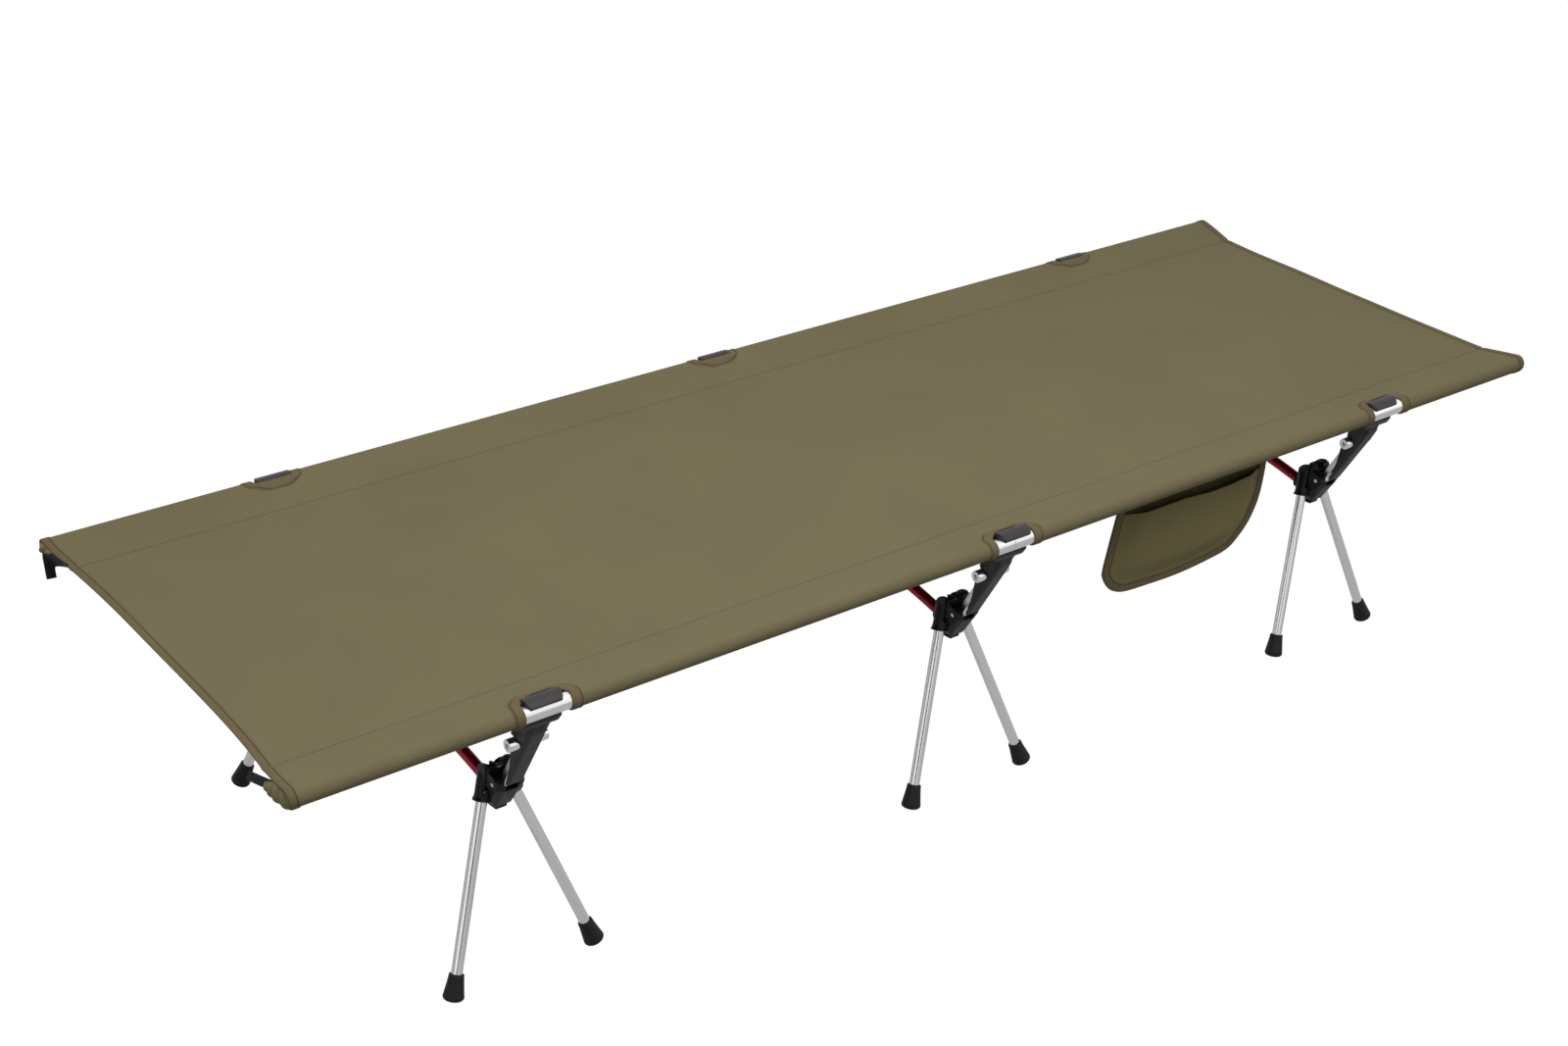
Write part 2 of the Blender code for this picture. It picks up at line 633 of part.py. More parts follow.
def pocket_sheet(name, inset, back, thickness, bulge, top):
    # A rounded panel whose front swells out from its edges.
    columns = 10
    rows = 6
    work = bmesh.new()
    bmesh.ops.create_grid(work, x_segments=columns, y_segments=rows, size=0.5)
    corner = max(POCKET_CORNER - inset, 0.004)
    width = POCKET_RIGHT - POCKET_LEFT
    drop_full = POCKET_MOUTH - POCKET_BOTTOM
    for vert in work.verts:
        # Columns crowd towards the rounded corners.
        u = 0.5 + 0.5 * math.sin(math.pi * vert.co.x)
        v = 0.5 - vert.co.y
        from_edge = min(u, 1 - u) * width
        lift = 0.0
        if from_edge < corner:
            lift = corner - math.sqrt(corner ** 2 - (corner - from_edge) ** 2)
        z = top + (POCKET_BOTTOM + inset + lift - top) * v
        down = max((POCKET_MOUTH - z) / drop_full, 0)
        left = POCKET_LEFT + inset + POCKET_LEFT_LEAN * down
        right = POCKET_RIGHT - inset + POCKET_RIGHT_LEAN * down ** 1.6
        vert.co = (left + (right - left) * u, back, z)
    swept = bmesh.ops.extrude_face_region(work, geom=list(work.faces))
    moved = [item for item in swept["geom"] if isinstance(item, bmesh.types.BMVert)]
    for vert in moved:
        down = min(max((POCKET_MOUTH - vert.co.z) / drop_full, 0), 1)
        middle = (POCKET_LEFT + POCKET_RIGHT) / 2 + (POCKET_LEFT_LEAN + POCKET_RIGHT_LEAN) / 2 * down
        across = min(abs(vert.co.x - middle) / (width / 2 - 0.006), 1)
        swell = bulge * (1 - across ** 2) * (1 - down ** 2.5)
        vert.co.y -= thickness + swell
    return mesh_object(name, work)


def storage_pocket():
    seam_y = -(POLE_SPACING / 2 - SLEEVE_DEPTH) - FABRIC_THICKNESS / 2
    # The pocket hangs from the seam, close under the sheet.
    top = POLE_HEIGHT - FABRIC_THICKNESS / 2 - 2 * TOUCH_GAP - 0.0012
    front = seam_y + 0.004
    wall = FABRIC_THICKNESS
    pocket = pocket_sheet("storage_pocket", 0.0, front, 2 * wall + 0.0006, POCKET_BULGE,
                          POCKET_MOUTH)
    cavity = pocket_sheet("cavity", POCKET_SEAM, front - wall, 0.0006, POCKET_BULGE,
                          POCKET_MOUTH + 0.003)
    cut(pocket, cavity)
    panel = [(POCKET_LEFT, top), (POCKET_RIGHT, top), (POCKET_RIGHT, POCKET_MOUTH - 0.0005),
             (POCKET_LEFT, POCKET_MOUTH - 0.0005)]
    work = bmesh.new()
    corners = [work.verts.new((x, front, z)) for x, z in panel]
    face = work.faces.new(corners)
    swept = bmesh.ops.extrude_face_region(work, geom=[face])
    moved = [item for item in swept["geom"] if isinstance(item, bmesh.types.BMVert)]
    bmesh.ops.translate(work, verts=moved, vec=(0, -wall, 0))
    join(pocket, mesh_object("panel", work))
    return finish(pocket, "fabric")


def place(source, name, parent):
    made = copy_of(source, name)
    made.parent = parent
    return made


def build():
    for old in list(bpy.data.objects):
        bpy.data.objects.remove(old)
    hub = hub_mesh()
    link = link_mesh()
    lever = lever_mesh()
    pin = pin_mesh()
    legs = {side: leg_mesh(side) for side in (-1, 1)}
    feet = {side: foot_mesh(side) for side in (-1, 1)}
    for station_name, station in STATIONS:
        for side_name, side in SIDES:
            where = f"{side_name}_{station_name}"
            base = bpy.data.objects.new(f"support_{where}", None)
            base.location = (station * STATION_SPACING, 0, 0)
            base.rotation_euler = (0, 0, 0 if side > 0 else math.pi)
            bpy.context.scene.collection.objects.link(base)
            place(hub, f"hub_{where}", base)
            place(link, f"link_{where}", base)
            place(lever, f"lever_{where}", base)
            place(pin, f"lever_pin_{where}", base)
            for leg_side in (-1, 1):
                # Legs are lettered from the near end to the far end on both sides.
                letter = "a" if leg_side * side < 0 else "b"
                place(legs[leg_side], f"leg_{where}_{letter}", base)
                place(feet[leg_side], f"foot_{where}_{letter}", base)
        cross_tube(f"cross_tube_{station_name}", station * STATION_SPACING)
    for source in (hub, link, lever, pin, *legs.values(), *feet.values()):
        bpy.data.objects.remove(source)
    for side_name, side in SIDES:
        pole_half(f"side_pole_{side_name}_near", side, -1)
        pole_half(f"side_pole_{side_name}_far", side, 1)
        ferrule(f"pole_ferrule_{side_name}", side)
    bed_fabric()
    storage_pocket()


build()
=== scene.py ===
# Camping cot: the visible model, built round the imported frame.
# Metres; x runs along the bed, the pocket side is -y, z is up.
# Support pieces are drawn once, with their own y pointing out from the bed, and then placed.
import math

import bmesh
import bpy
from mathutils import Matrix, Vector, noise


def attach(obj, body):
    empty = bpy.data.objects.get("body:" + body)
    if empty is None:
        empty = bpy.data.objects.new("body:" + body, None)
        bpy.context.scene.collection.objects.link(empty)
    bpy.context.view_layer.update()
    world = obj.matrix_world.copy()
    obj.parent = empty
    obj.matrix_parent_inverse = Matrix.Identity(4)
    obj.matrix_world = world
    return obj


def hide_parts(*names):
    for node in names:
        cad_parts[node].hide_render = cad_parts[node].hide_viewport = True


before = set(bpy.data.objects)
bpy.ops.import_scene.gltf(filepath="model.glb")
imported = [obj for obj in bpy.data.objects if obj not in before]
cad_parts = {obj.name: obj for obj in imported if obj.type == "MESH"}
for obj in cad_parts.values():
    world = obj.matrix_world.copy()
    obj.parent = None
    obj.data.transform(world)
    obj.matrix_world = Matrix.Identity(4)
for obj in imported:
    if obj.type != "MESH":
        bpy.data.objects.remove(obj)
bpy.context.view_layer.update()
print("frame loaded")

collection = bpy.context.scene.collection
bedEnds = (("near", -1), ("far", 1))
bedSides = (("front", -1), ("back", 1))

camera = {
    "azimuth": -38.27, "elevation": 27.88, "roll": 2.152,
    "place": (-1.83213, -2.18667, 1.76782), "lens": 57.17, "sensor": 36, "nearClip": 0.05,
}


def addCamera():
    azimuth, elevation, roll = (math.radians(camera[k]) for k in ("azimuth", "elevation", "roll"))
    back = Vector((math.sin(azimuth) * math.cos(elevation),
                   -math.cos(azimuth) * math.cos(elevation), math.sin(elevation)))
    right = Vector((math.cos(azimuth), math.sin(azimuth), 0))
    up = back.cross(right)
    right, up = (right * math.cos(roll) + up * math.sin(roll),
                 up * math.cos(roll) - right * math.sin(roll))
    data = bpy.data.cameras.new("studioCamera")
    data.sensor_width = camera["sensor"]
    data.lens = camera["lens"]
    data.clip_start = camera["nearClip"]
    placed = bpy.data.objects.new("studioCamera", data)
    placed.matrix_world = Matrix.Translation(camera["place"]) @ Matrix(
        (right, up, back)).transposed().to_4x4()
    collection.objects.link(placed)
    bpy.context.scene.camera = placed


addCamera()


class Nodes:
    # Short calls that add nodes to a tree and join their sockets.
    def __init__(self, tree):
        self.tree = tree

    def add(self, kind, **values):
        node = self.tree.nodes.new(kind)
        for key, value in values.items():
            setattr(node, key, value)
        return node

    def join(self, source, target):
        self.tree.links.new(source, target)

    def put(self, *pairs):
        # Each socket gets either another socket's value or a constant.
        for value, socket in pairs:
            if hasattr(value, "node"):
                self.join(value, socket)
            else:
                socket.default_value = value

    def math(self, operation, *values):
        node = self.add("ShaderNodeMath", operation=operation)
        self.put(*zip(values, node.inputs))
        return node.outputs[0]

    def mix(self, factor, first, second, blend="MIX"):
        node = self.add("ShaderNodeMix", data_type="RGBA", blend_type=blend)
        self.put((factor, node.inputs[0]), (first, node.inputs[6]), (second, node.inputs[7]))
        return node.outputs[2]

    def shade(self, base, tone):
        return self.mix(1.0, base, tone, blend="MULTIPLY")

    def noise(self, vector, scale, detail, rough):
        node = self.add("ShaderNodeTexNoise")
        self.put((vector, node.inputs["Vector"]), (scale, node.inputs["Scale"]),
                 (detail, node.inputs["Detail"]), (rough, node.inputs["Roughness"]))
        return node.outputs["Fac"]

    def ramp(self, value, low, high, fromLow=0.0, fromHigh=1.0):
        node = self.add("ShaderNodeMapRange")
        self.put(*((given, node.inputs[label]) for given, label in (
            (value, "Value"), (fromLow, "From Min"), (fromHigh, "From Max"), (low, "To Min"),
            (high, "To Max"))))
        return node.outputs[0]

    def drawOut(self, vector, share):
        # The same coordinate, drawn out along z.
        node = self.add("ShaderNodeMapping")
        self.put((vector, node.inputs["Vector"]), ((1, 1, share), node.inputs["Scale"]))
        return node.outputs[0]

    def split(self, vector):
        node = self.add("ShaderNodeSeparateXYZ")
        self.join(vector, node.inputs[0])
        return node.outputs


# Noise as (scale for each metre, detail, roughness); grain and streaks take their own scale.
texture = {
    "slub": (900.0, 2.0, 0.6), "mottle": (5.0, 3.0, 0.55), "grain": (3.0, 0.6),
    "flow": (70.0, 3.0, 0.55), "patches": (260.0, 3.0, 0.65), "streaks": (3.0, 0.6),
    "bands": (160.0, 2.0, 0.5), "scuffs": (420.0, 4.0, 0.7),
    "streakLength": 0.012, "bandLength": 0.03,
}


def newGroup(name, setting, value, *outputs):
    # Each shared effect takes a coordinate and one setting, and gives plain values.
    group = bpy.data.node_groups.new(name, "ShaderNodeTree")
    group.interface.new_socket("Vector", in_out="INPUT", socket_type="NodeSocketVector")
    given = group.interface.new_socket(setting, in_out="INPUT", socket_type="NodeSocketFloat")
    given.default_value = value
    for label in outputs:
        group.interface.new_socket(label, in_out="OUTPUT", socket_type="NodeSocketFloat")
    nodes = Nodes(group)
    return group, nodes, nodes.add("NodeGroupInput").outputs, nodes.add("NodeGroupOutput").inputs


def weaveGroup():
    # Plain weave from a coordinate in metres: thread height; a colour factor, which is painted
    # shade in the gaps between threads mixed with the yarn's uneven slubs; soft mottling.
    group, nodes, given, out = newGroup("plainWeave", "Pitch", 0.0007, "Height", "Shade", "Mottle")
    place = nodes.split(given["Vector"])
    turns = nodes.math("DIVIDE", math.pi, given["Pitch"])
    along = nodes.math("MULTIPLY", place[0], turns)
    across = nodes.math("MULTIPLY", place[1], turns)
    warp = nodes.math("MULTIPLY", nodes.math("SINE", along), nodes.math("COSINE", across))
    weft = nodes.math("MULTIPLY", nodes.math("COSINE", along), nodes.math("SINE", across))
    height = nodes.math("ADD", nodes.math("ABSOLUTE", warp), nodes.math("ABSOLUTE", weft))
    slub = nodes.noise(given["Vector"], *texture["slub"])
    shade = nodes.math("ADD", nodes.math("MULTIPLY", height, 0.6),
                       nodes.math("MULTIPLY", slub, 0.6))
    nodes.put((height, out["Height"]), (shade, out["Shade"]),
              (nodes.noise(given["Vector"], *texture["mottle"]), out["Mottle"]))
    return group


def grainGroup():
    # Fine moulded grain with faint flow marks, and convex edges made paler in patches, as rubbed
    # wear and a painted highlight.
    group, nodes, given, out = newGroup("mouldedGrain", "Scale", 1800.0, "Height", "Flow", "RubAndHighlight")
    local = given["Vector"]
    edge = nodes.add("ShaderNodeNewGeometry").outputs["Pointiness"]
    sharp = nodes.ramp(edge, 0.0, 1.0, 0.52, 0.60)
    patchy = nodes.ramp(nodes.noise(local, *texture["patches"]), 0.0, 1.0, 0.42, 0.62)
    nodes.put((nodes.noise(local, given["Scale"], *texture["grain"]), out["Height"]),
              (nodes.noise(local, *texture["flow"]), out["Flow"]),
              (nodes.math("MULTIPLY", sharp, patchy), out["RubAndHighlight"]))
    return group


def drawnGroup():
    # Drawn tube: long streaks that run with the tube, and a few fine scratches.
    group, nodes, given, out = newGroup("drawnMetal", "Streak", 900.0,
                                        "Streaks", "Bands", "Scuffs")
    local = given["Vector"]
    fine = nodes.drawOut(local, texture["streakLength"])
    wide = nodes.drawOut(local, texture["bandLength"])
    marks = nodes.noise(local, *texture["scuffs"])
    nodes.put((nodes.noise(fine, given["Streak"], *texture["streaks"]), out["Streaks"]),
              (nodes.noise(wide, *texture["bands"]), out["Bands"]),
              (nodes.ramp(marks, 0.0, 1.0, 0.60, 0.72), out["Scuffs"]))
    return group


weave, grain, drawn = weaveGroup(), grainGroup(), drawnGroup()


def newFinish(name, roughness, metallic=0.0, **sockets):
    made = bpy.data.materials.new(name)
    made.use_nodes = True
    nodes = Nodes(made.node_tree)
    shader = made.node_tree.nodes["Principled BSDF"]
    for label, value in {"Roughness": roughness, "Metallic": metallic, **sockets}.items():
        shader.inputs[label.replace("_", " ")].default_value = value
    return made, nodes, shader


def useGroup(nodes, group, vector, **values):
    node = nodes.add("ShaderNodeGroup", node_tree=group)
    nodes.join(vector, node.inputs["Vector"])
    for label, value in values.items():
        node.inputs[label].default_value = value
    return node.outputs


def bump(nodes, height, strength, distance, shader):
    node = nodes.add("ShaderNodeBump")
    nodes.put((strength, node.inputs["Strength"]), (distance, node.inputs["Distance"]),
              (height, node.inputs["Height"]), (node.outputs[0], shader.inputs["Normal"]))


def clothFinish(name, colour, dark, pitch=0.0007, roughness=0.86, sheen=0.25, depth=0.00012,
                furrowShade=None):
    # Woven cloth on the piece's own map, which is laid out in metres.
    made, nodes, shader = newFinish(name, roughness, Sheen_Weight=sheen, Sheen_Roughness=0.55,
                                    Specular_IOR_Level=0.25, Sheen_Tint=(*colour, 1))
    laid = nodes.add("ShaderNodeUVMap", uv_map="cut").outputs[0]
    woven = useGroup(nodes, weave, laid, Pitch=pitch)
    # The gaps between threads take the dark colour as painted shade; the slubs vary the tone at
    # random.
    threads = nodes.ramp(woven["Shade"], 0.0, 1.0, 0.25, 1.15)
    base = nodes.mix(threads, (*dark, 1), (*colour, 1))
    tone = nodes.ramp(woven["Mottle"], 0.93, 1.07, 0.3, 0.7)
    shaded = nodes.shade(base, tone)
    if furrowShade:
        # A dark line is painted into a tape a set way in from its sewn side, as the shade in the
        # furrow that the stitching pulls.
        off = nodes.math("ABSOLUTE", nodes.math("SUBTRACT", nodes.split(laid)[1], furrowShade))
        shaded = nodes.shade(shaded, nodes.ramp(off, 0.38, 1.0, 0.0003, 0.0007))
    rough = nodes.ramp(woven["Mottle"], roughness - 0.05, roughness + 0.05, 0.3, 0.7)
    nodes.put((shaded, shader.inputs["Base Color"]), (rough, shader.inputs["Roughness"]))
    bump(nodes, woven["Height"], 0.5, depth, shader)
    return made


def plasticFinish(name, colour, edgeRubAndHighlight, roughness, gloss, depth=0.00006):
    made, nodes, shader = newFinish(name, roughness, Specular_IOR_Level=gloss)
    local = nodes.add("ShaderNodeTexCoord").outputs["Object"]
    moulded = useGroup(nodes, grain, local)
    flow = nodes.ramp(moulded["Flow"], 0.85, 1.15, 0.3, 0.7)
    base = nodes.shade((*colour, 1), flow)
    # Convex edges take the paler colour: rubbed wear, and a painted highlight along the ridges.
    rubbedAndHighlit = nodes.mix(nodes.math("MULTIPLY", moulded["RubAndHighlight"], 0.5), base, (*edgeRubAndHighlight, 1))
    rough = nodes.ramp(moulded["Flow"], roughness - 0.06, roughness + 0.07, 0.3, 0.7)
    nodes.put((rubbedAndHighlit, shader.inputs["Base Color"]), (rough, shader.inputs["Roughness"]))
    bump(nodes, moulded["Height"], 0.35, depth, shader)
    return made


def metalFinish(name, colour, shade, roughness, metallic=1.0, streak=0.8, depth=0.25):
    # The "along" attribute holds a tube's own place, with z along the tube.
    made, nodes, shader = newFinish(name, roughness, metallic=metallic)
    local = nodes.add("ShaderNodeAttribute", attribute_name="along").outputs["Vector"]
    marks = useGroup(nodes, drawn, local)
    streaks = nodes.ramp(marks["Streaks"], 0.0, 1.0, 0.35, 0.65)
    tone = nodes.mix(nodes.math("MULTIPLY", streaks, streak), (*colour, 1), (*shade, 1))
    banded = nodes.shade(tone, nodes.ramp(marks["Bands"], 0.95, 1.03, 0.35, 0.65))
    rough = nodes.ramp(marks["Streaks"], roughness - 0.05, roughness + 0.07, 0.3, 0.7)
    rough = nodes.math("ADD", rough, nodes.math("MULTIPLY", marks["Scuffs"], 0.06))
    nodes.put((banded, shader.inputs["Base Color"]), (rough, shader.inputs["Roughness"]))
    bump(nodes, marks["Streaks"], depth, 0.00003, shader)
    return made


finishes = {name: make(name, *values, **options) for name, make, values, options in (
    ("bedCloth", clothFinish, [(0.226, 0.197, 0.105), (0.168, 0.146, 0.074)], {"sheen": 0.12}),
    ("pocketCloth", clothFinish, [(0.280, 0.238, 0.108), (0.207, 0.175, 0.075)], {}),
    # A darker copy of the pocket cloth: painted shade for the inside of the pocket.
    ("pocketPaintedShade", clothFinish, [(0.088, 0.075, 0.030), (0.060, 0.051, 0.020)], {}),
    ("liningCloth", clothFinish, [(0.272, 0.246, 0.124), (0.197, 0.178, 0.083)],
     {"roughness": 0.6, "sheen": 0.05}),
    # The tape gets a painted line of shade along its stitching furrow.
    ("tape", clothFinish, [(0.205, 0.158, 0.085), (0.148, 0.113, 0.058)],
     {"pitch": 0.0011, "depth": 0.0002, "furrowShade": 0.0022}),
    ("thread", clothFinish, [(0.060, 0.048, 0.026), (0.030, 0.024, 0.013)], {"pitch": 0.0006}),
    ("webbing", clothFinish, [(0.014, 0.014, 0.015), (0.006, 0.006, 0.007)],
     {"pitch": 0.0016, "roughness": 0.7, "depth": 0.0003}),
    # Each plastic's second colour goes on its convex edges, as rubbed wear and a painted highlight.
    ("hubPlastic", plasticFinish, [(0.0056, 0.0050, 0.0053), (0.022, 0.021, 0.021),
                                   0.40, 0.24], {}),
    ("leverPlastic", plasticFinish, [(0.0445, 0.0390, 0.0418), (0.046, 0.044, 0.045),
                                     0.44, 0.28], {}),
    ("footRubber", plasticFinish, [(0.0120, 0.0112, 0.0118), (0.030, 0.029, 0.029),
                                   0.58, 0.26], {}),
    ("poleMetal", metalFinish, [(0.86, 0.86, 0.87), (0.78, 0.78, 0.79), 0.20], {"streak": 0.35}),
    ("legMetal", metalFinish, [(0.85, 0.85, 0.855), (0.78, 0.78, 0.79), 0.22],
     {"streak": 0.5, "depth": 0.02}),
    ("crossTubeMetal", metalFinish, [(0.46, 0.008, 0.034), (0.36, 0.005, 0.025), 0.32],
     {"metallic": 0.65, "streak": 0.6}),
    ("linkMetal", metalFinish, [(0.80, 0.80, 0.80), (0.66, 0.66, 0.67), 0.28], {}),
    ("pinMetal", metalFinish, [(0.92, 0.92, 0.92), (0.82, 0.82, 0.83), 0.10], {}),
)}
print("finishes ready")

cot = {
    "poleY": 0.306, "poleZ": 0.373, "poleRadius": 0.010,
    "linkPivot": (0.22904, 0.24092), "leverPivot": (0.27100, 0.31599),
    "linkAngle": 60.8, "station": 0.659, "halfLength": 0.950,
}
stationPlaces = {"near": -cot["station"], "middle": 0.0, "far": cot["station"]}
supports = []
for endName, stationX in stationPlaces.items():
    for sideName, side in bedSides:
        turn = Matrix.Rotation(math.pi if side < 0 else 0, 4, "Z")
        supports.append((sideName + "_" + endName, side,
                         Matrix.Translation((stationX, 0, 0)) @ turn))


def linkPoint(along, outward, x=0.0):
    # Along the link from its lower pivot, and square to it towards the outside.
    angle = math.radians(cot["linkAngle"])
    y, z = cot["linkPivot"]
    return Vector((x, y + along * math.cos(angle) + outward * math.sin(angle),
                   z + along * math.sin(angle) - outward * math.cos(angle)))


def finishPiece(name, mesh, finish, body, replaced=(), angle=40):
    # Every piece gets its material, smooth shading and body, and the frame's nodes it stands for
    # are hidden.
    if not mesh.materials:
        mesh.materials.append(finishes[finish])
    mesh.shade_smooth()
    mesh.set_sharp_from_angle(angle=math.radians(angle))
    piece = bpy.data.objects.new(name, mesh)
    collection.objects.link(piece)
    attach(piece, body)
    if replaced:
        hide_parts(*replaced)
    return piece


def meshFrom(name, work, outwards=True):
    if outwards:
        bmesh.ops.recalc_face_normals(work, faces=work.faces)
    mesh = bpy.data.meshes.new(name)
    work.to_mesh(mesh)
    work.free()
    return mesh


def placeCopy(kind, where, mesh, place, finish, body, node, angle=40):
    # A copy of a shape drawn once, in the place of the frame's own node.
    name = kind + "_" + where
    copied = mesh.copy()
    copied.name = name
    copied.transform(place)
    return finishPiece(name, copied, finish, body, [node + "_" + where], angle)


def thicken(piece, thickness):
    thick = piece.modifiers.new("thickness", "SOLIDIFY")
    thick.thickness = thickness
    thick.offset = 0
    return thick


def gridSheet(columns, rows, size=0.5):
    work = bmesh.new()
    bmesh.ops.create_grid(work, x_segments=columns, y_segments=rows, size=size)
    return work


def layMap(work, flat):
    # The "cut" map holds each point's place on the flat piece, in metres.
    laid = work.loops.layers.uv.new("cut")
    for face in work.faces:
        for loop in face.loops:
            loop[laid].uv = flat(loop.vert)


def closeHoles(work):
    bmesh.ops.holes_fill(work, edges=[e for e in work.edges if e.is_boundary], sides=0)


def vertsIn(items):
    return [item for item in items if isinstance(item, bmesh.types.BMVert)]


def inMillimetres(centre, points):
    # (y, z) points given in millimetres from a centre.
    return [(centre[0] + a / 1000, centre[1] + b / 1000) for a, b in points]


def held(value):
    return min(1.0, max(0.0, value))


def softStep(value):
    value = held(value)
    return value * value * (3 - 2 * value)


def keepPlace(work):
    # Stores each point's own place, which the metal finishes read, before the tube is turned.
    layer = work.verts.layers.float_vector.new("along")
    for vert in work.verts:
        vert[layer] = vert.co


def turnedSolid(profile, start, direction, sides=48):
    # A solid turned from (distance along the axis, radius) points; hard corners stay sharp.
    work = bmesh.new()
    points = [work.verts.new((radius, 0, along)) for along, radius in profile]
    edges = [work.edges.new(pair) for pair in zip(points, points[1:])]
    bmesh.ops.spin(work, geom=points + edges, cent=(0, 0, 0), axis=(0, 0, 1),
                   angle=2 * math.pi, steps=sides, use_merge=True)
    bmesh.ops.remove_doubles(work, verts=work.verts, dist=1e-6)
    keepPlace(work)
    turn = Vector((0, 0, 1)).rotation_difference(Vector(direction)).to_matrix().to_4x4()
    bmesh.ops.transform(work, matrix=Matrix.Translation(start) @ turn, verts=work.verts)
    return work


def barSolid(outline, halfWidth, bevel=0.0, segments=2, middle=0.0, shape=None):
    # A (y, z) outline carried across x, with its edges rounded; shape works on it before that.
    work = bmesh.new()
    corners = [work.verts.new((middle - halfWidth, y, z)) for y, z in outline]
    face = work.faces.new(corners)
    swept = bmesh.ops.extrude_face_region(work, geom=[face])
    bmesh.ops.translate(work, verts=vertsIn(swept["geom"]), vec=(2 * halfWidth, 0, 0))
    bmesh.ops.recalc_face_normals(work, faces=work.faces)
    if shape:
        shape(work)
    if bevel:
        bmesh.ops.bevel(work, geom=work.edges[:], offset=bevel, segments=segments, profile=0.5,
                        affect="EDGES", material=-1, clamp_overlap=True)
    return work


def arcPoints(centre, radius, first, last, steps):
    points = []
    for i in range(steps + 1):
        angle = math.radians(first + (last - first) * i / steps)
        points.append((centre[0] + radius * math.cos(angle),
                       centre[1] + radius * math.sin(angle)))
    return points


def rod(start, end, radius, edge=0.0):
    # The profile of a plain cylinder, for turnedSolid, with its ends' edges cut.
    rims = [(start, radius - edge), (start + edge, radius), (end - edge, radius),
            (end, radius - edge)]
    return [(start, 0)] + (rims if edge else rims[1:3]) + [(end, 0)]


def scratchObject(name, work):
    made = bpy.data.objects.new(name, meshFrom(name, work))
    collection.objects.link(made)
    return made


def mouldedMesh(name, solids, cutters, mould=None):
    # Joins overlapping solids and cuts the holes; a mould's settings soften all the edges.
    body = scratchObject(name, solids[0])
    parts = [scratchObject(name + "Part", work) for work in solids[1:]]
    holes = [scratchObject(name + "Hole", work) for work in cutters]
    for operation, tools in (("UNION", parts), ("DIFFERENCE", holes)):
        for tool in tools:
            step = body.modifiers.new(operation, "BOOLEAN")
            step.operation = operation
            step.solver = "EXACT"
            step.object = tool
    if mould:
        remesh = body.modifiers.new("mould", "REMESH")
        remesh.mode = "VOXEL"
        remesh.voxel_size = mould["voxel"]
        soften = body.modifiers.new("soften", "SMOOTH")
        soften.factor = 0.5
        soften.iterations = mould["passes"]
        body.modifiers.new("lighten", "DECIMATE").ratio = mould["keep"]
    graph = bpy.context.evaluated_depsgraph_get()
    graph.update()
    mesh = bpy.data.meshes.new_from_object(body.evaluated_get(graph))
    mesh.name = name
    mesh.materials.clear()
    for tool in parts + holes + [body]:
        bpy.data.objects.remove(tool)
    return mesh


leg = {
    "radius": 0.0065, "rootGap": 0.0112, "rootBack": 0.026, "rootDrop": 0.001,
    "splayAlong": 0.0835, "splayOut": 0.0575,
}
foot = {
    "rim": 0.0087, "wide": 0.0122, "dome": 0.0062, "length": 0.0320, "lift": 0.0064,
    "roll": 0.0012, "bore": 0.0002,
}


def legEnds(side):
    # The leg's top in the hub and the point where its axis meets the floor.
    y, z = cot["linkPivot"]
    root = Vector((side * leg["rootGap"], y - leg["rootBack"], z - leg["rootDrop"]))
    floor = Vector((root.x + side * leg["splayAlong"], root.y + leg["splayOut"], 0))
    return root, floor


def legMesh(side):
    root, floor = legEnds(side)
    way = (floor - root).normalized()
    length = (floor - root).length - foot["lift"] / -way.z
    r = leg["radius"]
    return meshFrom("legTube", turnedSolid(
        [(0.0005, 0), (0.0005, r - 0.0005), (0.001, r), (length * 0.33, r), (length * 0.66, r),
         (length - 0.001, r), (length - 0.0005, r - 0.0005), (length - 0.0005, 0)], root, way))


def footMesh(side):
    # A flared rubber cap: rolled rim, straight flare, domed end that is flat where it stands.
    root, floor = legEnds(side)
    way = (floor - root).normalized()
    centre = floor + way * (foot["lift"] / way.z)
    waist = foot["length"] - foot["dome"]
    start = centre - way * waist
    inner = leg["radius"] + foot["bore"]
    rim, roll = foot["rim"], foot["roll"]
    profile = [(0.006, inner), (0.0009, inner), (0.0002, inner + 0.0005), (0, rim - 0.0008),
               (0.0003, rim - 0.0002), (roll, rim + 0.0001)]
    for i in range(1, 9):
        t = i / 9
        profile.append((roll + (waist - roll) * t, rim + (foot["wide"] - rim) * (t ** 1.15)))
    for i in range(15):
        angle = math.pi / 2 * i / 14
        profile.append((waist + foot["dome"] * math.sin(angle) ** 0.9,
                        foot["wide"] * math.cos(angle) ** 0.8 if i < 14 else 0))
    work = turnedSolid(profile, start, way, sides=40)
    closeHoles(work)
    bmesh.ops.recalc_face_normals(work, faces=work.faces)
    cut = bmesh.ops.bisect_plane(work, geom=work.verts[:] + work.edges[:] + work.faces[:],
                                 plane_co=(0, 0, 0), plane_no=(0, 0, -1), clear_outer=True)
    rimEdges = [item for item in cut["geom_cut"] if isinstance(item, bmesh.types.BMEdge)]
    bmesh.ops.contextual_create(work, geom=rimEdges)
    return meshFrom("rubberFoot", work)


crossTube = {"radius": 0.007, "hubBack": 0.025, "hubDrop": 0.0246, "rise": 0.0231,
             "socket": 0.026, "insert": 0.009}


